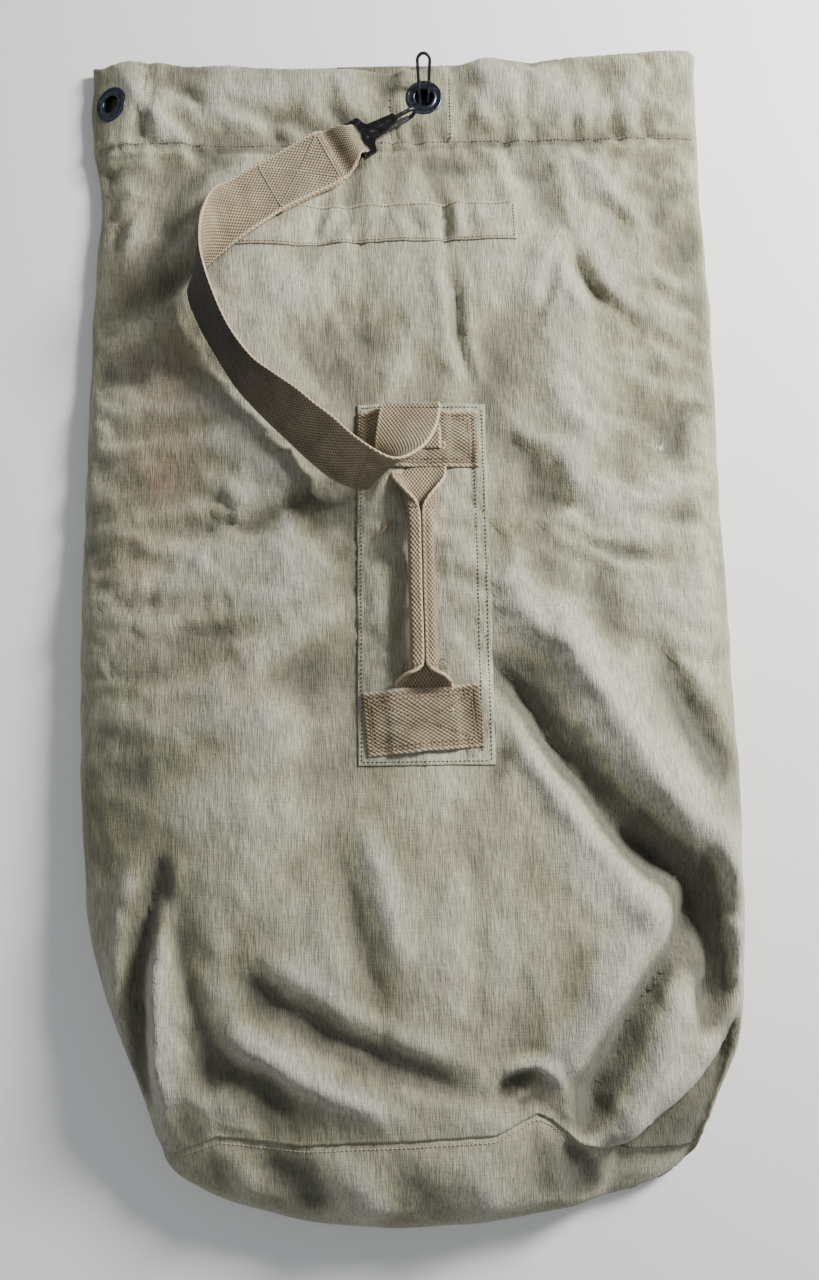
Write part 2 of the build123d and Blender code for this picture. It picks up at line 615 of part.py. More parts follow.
# ---------------------------------------------------------------- names and files
NODES = {
    "front_panel": front_panel, "back_panel": back_panel, "base_disc": base_disc,
    "hem_facing": hem_facing, "name_strip": name_strip, "handle_panel": handle_panel,
    "upper_anchor": upper_anchor, "lower_anchor": lower_anchor, "strap_tail": strap_tail,
    "handle_tab_upper": handle_tab_upper, "handle_tab_lower": handle_tab_lower,
    "handle_grip": handle_grip, "shoulder_strap": shoulder_strap, "snap_hook": snap_hook,
    "snap_gate": snap_gate, "gate_rivet": gate_rivet, "gate_spring": gate_spring,
    "lock_staple": lock_staple, "staple_keeper": staple_keeper,
}
for place in GROMMETS:
    NODES["grommet_" + place] = grommets[place]
    NODES["washer_" + place] = washers[place]
    NODES["grommet_patch_" + place] = patches[place]

for node_name, piece in NODES.items():
    piece.part.label = node_name
    export_step(piece.part, "parts/" + node_name + ".step")
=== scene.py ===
"""Canvas duffel bag: cloth, webbing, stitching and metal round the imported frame.

Shapes are worked out in millimetres, in the frame's own axes: +Y to the mouth, +Z up.
"""
from math import atan2, ceil, cos, pi, radians, sin

import bmesh
import bpy
import numpy as np
from mathutils import Matrix, Vector, noise
from mathutils.bvhtree import BVHTree


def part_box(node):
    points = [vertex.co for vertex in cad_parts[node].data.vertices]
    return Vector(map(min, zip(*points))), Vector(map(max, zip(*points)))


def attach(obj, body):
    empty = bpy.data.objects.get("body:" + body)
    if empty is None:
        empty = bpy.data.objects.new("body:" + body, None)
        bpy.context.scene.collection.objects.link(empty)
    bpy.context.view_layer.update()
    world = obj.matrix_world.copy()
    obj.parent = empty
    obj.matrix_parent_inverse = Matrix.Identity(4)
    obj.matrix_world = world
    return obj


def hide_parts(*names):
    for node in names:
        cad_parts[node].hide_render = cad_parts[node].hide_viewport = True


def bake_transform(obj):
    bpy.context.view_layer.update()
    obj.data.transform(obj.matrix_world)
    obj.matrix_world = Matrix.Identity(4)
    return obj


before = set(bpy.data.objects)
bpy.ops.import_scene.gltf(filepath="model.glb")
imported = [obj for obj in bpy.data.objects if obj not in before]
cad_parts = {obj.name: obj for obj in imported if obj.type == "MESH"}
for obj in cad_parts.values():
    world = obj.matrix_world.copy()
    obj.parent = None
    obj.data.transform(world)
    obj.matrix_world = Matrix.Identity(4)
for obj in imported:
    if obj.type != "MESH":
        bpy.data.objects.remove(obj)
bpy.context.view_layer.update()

MM = 0.001


def corners(node):
    """Lowest and highest corner of a CAD node, in millimetres."""
    return tuple(np.array(corner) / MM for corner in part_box(node))


# ---------------------------------------------------------------- driving sizes
TUBE_LOW, TUBE_HIGH = corners("front_panel")
HALF = TUBE_HIGH[0]
RIM_Y = TUBE_HIGH[1]
SEAM_Y = TUBE_LOW[1]
HEM_Y = corners("hem_facing")[0][1]
CANVAS = 1.2                          # canvas thickness
FACING = 1.0                          # facing and grommet patches
PLY_GAP = 0.05
WEB = 2.2                             # webbing thickness
WEB_WIDTH = 50.0

# ---------------------------------------------------------------- camera, lights and floor
CAMERA_PLACE = (0.00239, -0.14278, 0.87934)
CAMERA_TILT = 7.10
CAMERA_ROLL = -1.27
LENS = 29.53
SENSOR = 36.0
SKY_COLOUR = (0.93, 0.96, 1.0)
SKY_STRENGTH = 0.27
LIGHTS = (                            # name, place, size, power and colour
    ("key", (1.30, 0.85, 0.92), 0.50, 80.0, (1.0, 0.985, 0.96)),
    ("fill", (-0.9, -0.9, 1.8), 1.8, 6.0, (0.94, 0.97, 1.0)),
)
LIT_POINT = (0, 0, 0.03)
FLOOR_REACH = 6.0
FLOOR_DROP = 0.0004                   # keeps the floor clear of the cloth that lies on it


def placed(name, data):
    """New object linked into the scene."""
    piece = bpy.data.objects.new(name, data)
    bpy.context.scene.collection.objects.link(piece)
    return piece


def add_camera():
    """Camera at the photo's place above the bag."""
    data = bpy.data.cameras.new("camera")
    data.lens = LENS
    data.sensor_width = SENSOR
    camera = placed("camera", data)
    camera.location = CAMERA_PLACE
    turn = Matrix.Rotation(radians(CAMERA_TILT), 4, "X") @ Matrix.Rotation(radians(CAMERA_ROLL), 4, "Z")
    camera.rotation_euler = turn.to_euler()
    bpy.context.scene.camera = camera


def add_lights():
    """Soft studio light: a dim pale sky, a key and a fill."""
    world = bpy.data.worlds.new("studio")
    bpy.context.scene.world = world
    world.use_nodes = True
    background = world.node_tree.nodes["Background"]
    background.inputs["Color"].default_value = (*SKY_COLOUR, 1)
    background.inputs["Strength"].default_value = SKY_STRENGTH
    for name, place, size, power, colour in LIGHTS:
        data = bpy.data.lights.new(name, "AREA")
        data.size = size
        data.energy = power
        data.color = colour
        light = placed(name, data)
        light.location = place
        aim = Vector(LIT_POINT) - light.location
        light.rotation_euler = aim.to_track_quat("-Z", "Y").to_euler()


def add_floor():
    """Plain pale floor."""
    mesh = bpy.data.meshes.new("floor")
    ends = ((-1, -1), (1, -1), (1, 1), (-1, 1))
    mesh.from_pydata([(x * FLOOR_REACH, y * FLOOR_REACH, 0) for x, y in ends], [], [(0, 1, 2, 3)])
    floor = placed("floor", mesh)
    floor.location.z = -FLOOR_DROP
    paint = Surface("floor_white")
    paint.set_all({"Base Color": (0.93, 0.93, 0.925), "Roughness": 0.75})
    mesh.materials.append(paint.material)


# ---------------------------------------------------------------- materials
class Surface:
    """A material's node tree, with a short call for each kind of node that the materials share."""

    def __init__(self, name):
        self.material = bpy.data.materials.new(name)
        self.material.use_nodes = True
        self.tree = self.material.node_tree
        self.shader = self.tree.nodes["Principled BSDF"]

    def feed(self, socket, value):
        """Give a socket a number, a colour, a vector or another node's output."""
        if isinstance(value, bpy.types.NodeSocket):
            self.tree.links.new(value, socket)
        elif socket.type == "RGBA":
            socket.default_value = (*value, 1)
        else:
            socket.default_value = value

    def node(self, kind, inputs, **settings):
        """New node with its settings and its inputs, by name or by number."""
        made = self.tree.nodes.new("ShaderNode" + kind)
        for key, value in settings.items():
            setattr(made, key, value)
        for key, value in inputs.items():
            self.feed(made.inputs[key], value)
        return made

    def set_all(self, values):
        """Feed the shader's own sockets."""
        for key, value in values.items():
            self.feed(self.shader.inputs[key], value)

    def noise(self, stretch, detail, rough, kind="FBM"):
        """Noise over the object, stretched by a scale for each axis."""
        place = self.node("TexCoord", {}).outputs["Object"]
        mapping = self.node("Mapping", {"Vector": place, "Scale": stretch})
        inputs = {"Vector": mapping.outputs["Vector"], "Scale": 1.0, "Detail": detail, "Roughness": rough}
        return self.node("TexNoise", inputs, noise_type=kind).outputs["Fac"]

    def ramp(self, value, low, high, start=0.0, end=1.0):
        """Map a value's range onto another one, clamped."""
        inputs = {"Value": value, "From Min": low, "From Max": high, "To Min": start, "To Max": end}
        return self.node("MapRange", inputs).outputs["Result"]

    def mix(self, factor, first, second, blend="MIX"):
        """Colour mix: sockets 0, 6 and 7 of the node are its factor and its two colours."""
        inputs = {0: factor, 6: first, 7: second}
        return self.node("Mix", inputs, data_type="RGBA", blend_type=blend).outputs[2]

    def tint(self, colour, tone, value, low, high, most, least=0.0):
        """Bring a tone into a colour as a value goes from low to high."""
        return self.mix(self.ramp(value, low, high, least, most), colour, tone)

    def math(self, operation, first, second=0.0):
        """Math node on sockets or numbers."""
        return self.node("Math", {0: first, 1: second}, operation=operation).outputs[0]

    def bumps(self, *layers):
        """Chain of bumps: height, its distance in metres and its strength."""
        below = {}
        for height, distance, strength in layers:
            inputs = {"Height": height, "Distance": distance, "Strength": strength, **below}
            below = {"Normal": self.node("Bump", inputs).outputs["Normal"]}
        self.set_all(below)


def scaled(colour, factor):
    """A colour times a factor."""
    return tuple(factor * value for value in colour)


DIRT = (0.09, 0.085, 0.065)
# painted highlight for the crests of folds, and painted shade for their hollows
PAINTED_CREST_HIGHLIGHT = (0.44, 0.425, 0.375)
PAINTED_HOLLOW_SHADE = (0.075, 0.071, 0.055)
BROWN_STAIN = (0.27, 0.185, 0.115)
PALE_FLECK = (0.62, 0.60, 0.55)
BETWEEN_RIBS = (0.16, 0.125, 0.08)
# painted shade for the strap's face that turns away from the light
PAINTED_STRAP_SHADE = (0.022, 0.018, 0.014)
RUST = (0.16, 0.065, 0.03)
FADED_SHARE = 0.59                    # of the sum of the canvas's dark and light tones
WEB_RIB = 4.2                         # rows of knuckles along the webbing, in millimetres
WEB_RIB_ACROSS = 3.1
SELVEDGE_RIB = 1.9


def with_wear_and_painted_light(cloth, colour, cloud, fleck):
    """Canvas colour with its painted marks: painted highlight on crests, painted shade in hollows, brown
    stains and pale flecks.
    """
    painted = cloth.node("VertexColor", {}, layer_name="wear_and_painted_light")
    split = cloth.node("SeparateColor", {"Color": painted.outputs["Color"]})
    relief, stained, rubbed = (split.outputs[name] for name in ("Red", "Green", "Blue"))
    # painted highlight on crests and painted shade in hollows, from the red channel's relief
    colour = cloth.tint(colour, PAINTED_CREST_HIGHLIGHT, relief, 0.5, 1.0, 0.6)
    colour = cloth.tint(colour, PAINTED_HOLLOW_SHADE, relief, 0.0, 0.5, 0.0, 0.82)
    stain = cloth.math("MULTIPLY", stained, cloth.ramp(cloud, 0.3, 0.7))
    colour = cloth.tint(colour, BROWN_STAIN, stain, 0.05, 0.8, 0.75)
    pale = cloth.math("MULTIPLY", rubbed, cloth.ramp(fleck, 0.5, 0.66))
    return cloth.mix(pale, colour, PALE_FLECK)


def canvas_material(name, dark, light, painted=True):
    """Washed-out cotton duck: slubbed threads, faded blotches, stains, painted shade in the folds and
    painted highlight on their crests.
    """
    cloth = Surface(name)
    slub = cloth.noise((1100, 70, 300), 2.5, 0.6)
    pick = cloth.noise((90, 1000, 300), 2.0, 0.6)
    blotch = cloth.noise((13, 9, 13), 4.0, 0.62)
    cloud = cloth.noise((34, 22, 34), 5.0, 0.68)
    fleck = cloth.noise((240, 170, 240), 3.0, 0.7)
    faded = tuple(FADED_SHARE * (a + b) for a, b in zip(dark, light))
    colour = cloth.mix(cloth.ramp(blotch, 0.36, 0.64), dark, light)
    colour = cloth.tint(colour, faded, cloud, 0.35, 0.68, 0.55)
    colour = cloth.tint(colour, DIRT, fleck, 0.62, 0.78, 0.22)
    if painted:
        colour = with_wear_and_painted_light(cloth, colour, cloud, fleck)
    warp, weft = cloth.ramp(slub, 0.3, 0.7, -0.62, 0.62), cloth.ramp(pick, 0.3, 0.7, -0.18, 0.18)
    thread = cloth.math("ADD", warp, weft)
    shade = cloth.ramp(thread, -0.6, 0.6, 0.62, 1.34)
    shade = cloth.node("CombineColor", {0: shade, 1: shade, 2: shade}).outputs["Color"]
    cloth.set_all({
        "Base Color": cloth.mix(1.0, colour, shade, "MULTIPLY"),
        "Roughness": cloth.ramp(slub, 0.3, 0.7, 0.82, 0.97),
        "Specular IOR Level": 0.22, "Sheen Weight": 0.18, "Sheen Roughness": 0.55,
    })
    crumple = cloth.noise((95, 60, 95), 4.0, 0.6)
    wrinkle = cloth.noise((52, 30, 52), 3.0, 0.5, "RIDGED_MULTIFRACTAL")
    cloth.bumps((wrinkle, 0.0011, 0.5), (crumple, 0.0022, 0.6), (thread, 0.0005, 0.7))
    return cloth.material


def webbing_material(name, dark, light, edge, shade_along=None):
    """Woven cotton tape: rows of small knuckles, paler selvedges and grubby blotches. The coordinates are
    millimetres along and across it; the last argument is where along it painted shade begins and is full."""
    tape = Surface(name)
    place = tape.node("UVMap", {}, uv_map="weave").outputs["UV"]
    parts = tape.node("SeparateXYZ", {"Vector": place}).outputs
    along, across = parts["X"], parts["Y"]

    def wave(distance, length):
        return tape.math("SINE", tape.math("MULTIPLY", distance, 2 * pi / length))

    knuckle = tape.math("MULTIPLY", wave(along, WEB_RIB), wave(across, WEB_RIB_ACROSS))
    knuckle = tape.ramp(knuckle, -0.8, 0.8)
    grime = tape.noise((38, 30, 38), 4.0, 0.65)
    speck = tape.noise((420, 420, 420), 2.0, 0.6)
    colour = tape.mix(knuckle, dark, light)
    colour = tape.tint(colour, scaled(dark, 0.62), grime, 0.38, 0.66, 0.5)
    colour = tape.tint(colour, light, speck, 0.55, 0.75, 0.35)
    selvedge = tape.ramp(tape.math("ABSOLUTE", across), WEB_WIDTH / 2 - 2.6, WEB_WIDTH / 2 - 2.1)
    rib_line = tape.ramp(wave(along, SELVEDGE_RIB), -1.0, 1.0, 0.78, 1.0)
    colour = tape.mix(selvedge, colour, tape.mix(rib_line, BETWEEN_RIBS, edge))
    # painted shade, growing darker along the tape between the two given places
    if shade_along:
        colour = tape.tint(colour, PAINTED_STRAP_SHADE, along, *shade_along, 0.88)
    tape.set_all({"Base Color": colour, "Roughness": 0.88, "Specular IOR Level": 0.25, "Sheen Weight": 0.15})
    tape.bumps((grime, 0.0012, 0.3), (knuckle, 0.0009, 0.9))
    return tape.material


def thread_material(name, colour):
    """Twisted sewing thread."""
    thread = Surface(name)
    twist = thread.noise((900, 900, 900), 2.0, 0.5)
    tone = thread.mix(thread.ramp(twist, 0.3, 0.7), scaled(colour, 0.6), colour)
    thread.set_all({"Base Color": tone, "Roughness": 0.8})
    thread.bumps((twist, 0.0003, 0.6))
    return thread.material


def metal_material(name, base, rubbed, rough, rub_share, rust_share):
    """Blackened or plated metal with rubbed patches and a little rust."""
    metal = Surface(name)
    rub = metal.noise((260, 260, 260), 4.0, 0.65)
    scratch = metal.noise((900, 160, 500), 3.0, 0.7)
    spots = metal.noise((150, 150, 150), 5.0, 0.7)
    colour = metal.tint(base, rubbed, rub, 0.56, 0.7, rub_share)
    colour = metal.tint(colour, rubbed, scratch, 0.6, 0.72, 0.35)
    colour = metal.tint(colour, RUST, spots, 0.6, 0.72, rust_share)
    roughness = metal.ramp(rub, 0.3, 0.75, rough, rough + 0.25)
    metal.set_all({"Base Color": colour, "Metallic": 1.0, "Roughness": roughness})
    metal.bumps((scratch, 0.0002, 0.25), (spots, 0.0003, 0.3))
    return metal.material


CANVAS_OUT = canvas_material("canvas_faded", (0.188, 0.180, 0.108), (0.392, 0.376, 0.272))
CANVAS_IN = canvas_material("canvas_inside", (0.140, 0.134, 0.085), (0.225, 0.215, 0.150), painted=False)
CANVAS_PATCH = canvas_material("canvas_patch", (0.196, 0.188, 0.114), (0.392, 0.374, 0.272))
WEB_TAN = webbing_material("webbing_tan", (0.120, 0.090, 0.050), (0.47, 0.385, 0.250), (0.50, 0.395, 0.255))
# shaded copy of the tan webbing: darker tones and selvedges, and painted shade along the strap's reverse
# face
WEB_REVERSE_SHADED = webbing_material(
    "webbing_reverse_shaded", (0.100, 0.075, 0.042), (0.46, 0.375, 0.245), (0.30, 0.235, 0.150), (120.0, 250.0)
)
WEB_OLIVE = webbing_material(
    "webbing_olive", (0.105, 0.082, 0.046), (0.40, 0.335, 0.220), (0.40, 0.335, 0.225)
)
THREAD_CANVAS = thread_material("thread_faded", (0.17, 0.15, 0.115))
THREAD_DARK = thread_material("thread_dark", (0.085, 0.078, 0.055))
THREAD_PALE = thread_material("thread_pale", (0.44, 0.385, 0.285))
THREAD_TAN = thread_material("thread_tan", (0.33, 0.25, 0.16))
THREAD_RUST = thread_material("thread_rust", (0.28, 0.165, 0.085))
GROMMET_BLACK = metal_material("grommet_black", (0.060, 0.074, 0.096), (0.26, 0.28, 0.31), 0.24, 0.6, 0.05)
HOOK_BLACK = metal_material("hook_black", (0.050, 0.048, 0.050), (0.24, 0.235, 0.225), 0.28, 0.6, 0.5)
STEEL = metal_material("steel_rubbed", (0.20, 0.195, 0.19), (0.45, 0.44, 0.42), 0.28, 0.7, 0.25)


# ---------------------------------------------------------------- mesh helpers
def mesh_object(name, points, faces, materials, uv=None):
    """New smooth object from points in millimetres."""
    mesh = bpy.data.meshes.new(name)
    mesh.from_pydata([tuple(point) for point in np.asarray(points) * MM], [], faces)
    for material in materials:
        mesh.materials.append(material)
    if uv is not None:
        layer = mesh.uv_layers.new(name="weave")
        for loop in mesh.loops:
            layer.data[loop.index].uv = uv[loop.vertex_index]
    tidy = bmesh.new()
    tidy.from_mesh(mesh)
    bmesh.ops.recalc_face_normals(tidy, faces=tidy.faces)
    tidy.to_mesh(mesh)
    tidy.free()
    mesh.shade_smooth()
    mesh.update()
    return placed(name, mesh)


def grid_faces(rows, columns, wrap=False, first=0, flip=False):
    """Quads of a grid of points stored row by row."""
    faces = []
    last = columns if wrap else columns - 1
    for i in range(rows - 1):
        for j in range(last):
            a = first + i * columns + j
            b = first + i * columns + (j + 1) % columns
            c, d = b + columns, a + columns
            faces.append((a, d, c, b) if flip else (a, b, c, d))
    return faces


def unit(vectors, axis=1):
    """Vectors made one long."""
    return vectors / np.linalg.norm(vectors, axis=axis, keepdims=True)


def run_of(points):
    """Distance along a path of points, at each of them."""
    return np.concatenate([[0], np.cumsum(np.linalg.norm(np.diff(points, axis=0), axis=1))])


def grid_normals(grid, wrap=False):
    """Unit normals of a rows x columns x 3 grid."""
    along = np.gradient(grid, axis=0)
    if wrap:
        across = np.roll(grid, -1, axis=1) - np.roll(grid, 1, axis=1)
    else:
        across = np.gradient(grid, axis=1)
    normal = np.cross(along, across)
    return normal / np.maximum(np.linalg.norm(normal, axis=2, keepdims=True), 1e-9)


def sheet_solid(name, top, bottom, material, wrap=False, uv=None):
    """Closed sheet between two grids of the same size."""
    rows, columns = top.shape[:2]
    count = rows * columns
    points = np.concatenate([top.reshape(-1, 3), bottom.reshape(-1, 3)])
    faces = grid_faces(rows, columns, wrap) + grid_faces(rows, columns, wrap, count, flip=True)
    base = (rows - 1) * columns
    for j in range(columns if wrap else columns - 1):
        k = (j + 1) % columns
        faces.append((j, j + count, k + count, k))
        faces.append((base + k, base + k + count, base + j + count, base + j))
    if not wrap:
        for a in range(0, base, columns):
            b = a + columns
            faces.append((b, b + count, a + count, a))
            a, b = a + columns - 1, b + columns - 1
            faces.append((a, a + count, b + count, b))
    double = None if uv is None else np.concatenate([uv, uv])
    return mesh_object(name, points, faces, [material], double)


def blur(values, radius, axis=0):
    """Gaussian blur along one axis, in samples, with the ends held."""
    reach = max(1, int(3 * radius))
    steps = np.arange(-reach, reach + 1)
    kernel = np.exp(-0.5 * (steps / radius) ** 2)
    kernel /= kernel.sum()
    padding = [(0, 0)] * values.ndim
    padding[axis] = (reach, reach)
    padded = np.pad(values, padding, mode="edge")
    return np.apply_along_axis(lambda line: np.convolve(line, kernel, "valid"), axis, padded)


def blur_both(values, radius):
    """Gaussian blur along the rows and the columns of a grid."""
    return blur(blur(values, radius, 0), radius, 1)


def ring_blur(values, times):
    """Smooth closed rings stored along axis 1."""
    for _ in range(times):
        values = 0.5 * values + 0.25 * (np.roll(values, 1, axis=1) + np.roll(values, -1, axis=1))
    return values


def smooth_step(value, low, high):
    """0 below low, 1 above high, smooth between them."""
    share = np.clip((value - low) / (high - low), 0.0, 1.0)
    return share * share * (3 - 2 * share)


def field(x, y, size, seed, octaves=2, stretch=1.0):
    """Smooth noise over the cloth, about -1 to 1, with features of a size in millimetres."""
    flat = np.stack([np.ravel(x), np.ravel(y)], axis=1)
    values = [
        noise.fractal(Vector((a / size, b / (size * stretch), seed)), 0.9, 2.1, octaves) for a, b in flat
    ]
    return np.array(values).reshape(np.shape(x))


def spline(points, samples):
    """Catmull-Rom curve through given points, evenly stepped in their numbering."""
    points = np.asarray(points, float)
    table = np.concatenate([2 * points[:1] - points[1:2], points, 2 * points[-1:] - points[-2:-1]])
    steps = np.linspace(0, len(points) - 1, samples)
    whole = np.minimum(steps.astype(int), len(points) - 2)
    t = (steps - whole)[:, None]
    p0, p1, p2, p3 = (table[whole + k] for k in range(4))
    return 0.5 * (2 * p1 + (p2 - p0) * t + (2 * p0 - 5 * p1 + 4 * p2 - p3) * t ** 2
                  + (3 * p1 - p0 - 3 * p2 + p3) * t ** 3)


def polyline_field(x, y, line):
    """Signed distance to a polyline on the cloth and the share along it."""
    line = np.asarray(line, float)
    lengths = np.linalg.norm(np.diff(line, axis=0), axis=1)
    total = lengths.sum()
    best = np.full(np.shape(x), 1e9)
    signed = np.zeros(np.shape(x))
    share = np.zeros(np.shape(x))
    start = 0.0
    for (ax, ay), (bx, by), length in zip(line[:-1], line[1:], lengths):
        ux, uy = (bx - ax) / length, (by - ay) / length
        t = np.clip((x - ax) * ux + (y - ay) * uy, 0, length)
        dx, dy = x - ax - t * ux, y - ay - t * uy
        gap = np.hypot(dx, dy)
        nearer = gap < best
        best = np.where(nearer, gap, best)
        signed = np.where(nearer, gap * np.sign(ux * dy - uy * dx + 1e-12), signed)
        share = np.where(nearer, (start + t) / total, share)
        start += length
    return signed, share


# ---------------------------------------------------------------- the bag's shape
SHARES = np.array((-1.0, -0.985, -0.88, -0.77, -0.45, 0.0, 0.45, 0.88, 0.97, 1.0))
STATION_Y = np.array((RIM_Y, HEM_Y, 300.0, 150.0, 0.0, -150.0, -300.0, -380.0, SEAM_Y))
STATION_TOPS = np.array((
    (8, 10.2, 22.8, 22.5, 19, 18, 18, 16.5, 13, 8),
    (8, 10.2, 22.8, 22.5, 19, 18, 18, 16.5, 13, 8),
    (10, 12, 24, 26, 27, 28, 26, 20, 16, 10),
    (14, 17, 30, 35, 40, 43, 40, 29, 22, 14),
    (18, 21, 38, 45, 52, 56, 52, 37, 29, 18),
    (22, 26, 45, 54, 64, 69, 64, 45, 35, 22),
    (26, 31, 53, 62, 73, 78, 73, 54, 41, 26),
    (26, 31, 52, 61, 71, 76, 71, 53, 41, 26),
    (26, 30, 46, 54, 62, 67, 62, 47, 37, 26),
), float)
LEFT_EDGE = (
    (490, -272), (459, -272), (404, -271), (376, -262), (352, -260), (324, -265), (269, -267),
    (178, -269), (90, -271), (4, -272), (-79, -272),
    (-160, -269), (-239, -263), (-278, -257), (-316, -246), (-343, -235), (-369, -223), (-399, -211),
    (-430, -195),
)
RIGHT_EDGE = (
    (490, 272), (446, 270), (350, 268), (257, 271), (166, 270), (78, 268), (-8, 269), (-91, 269),
    (-172, 270), (-250, 266), (-289, 264), (-327, 262), (-357, 258), (-376, 249), (-394, 236),
    (-420, 223), (-430, 218),
)
RIM_LINE = (
    (-270, 484), (-217, 485), (-150, 478), (-84, 472), (26, 475), (67, 480), (120, 481), (183, 484),
    (263, 490),
)
SEAM_LINE = (
    (-200, -432), (-182, -425), (-149, -411), (-86, -417), (-13, -414), (24, -413), (58, -411), (78, -402),
    (90, -397), (101, -403), (113, -414), (124, -422), (157, -432), (200, -434),
)
FRONT_COLUMNS = 128
SIDE_COLUMNS = 6
BACK_COLUMNS = 56
CORNER = 15.0                         # how far the bottom corners pull in

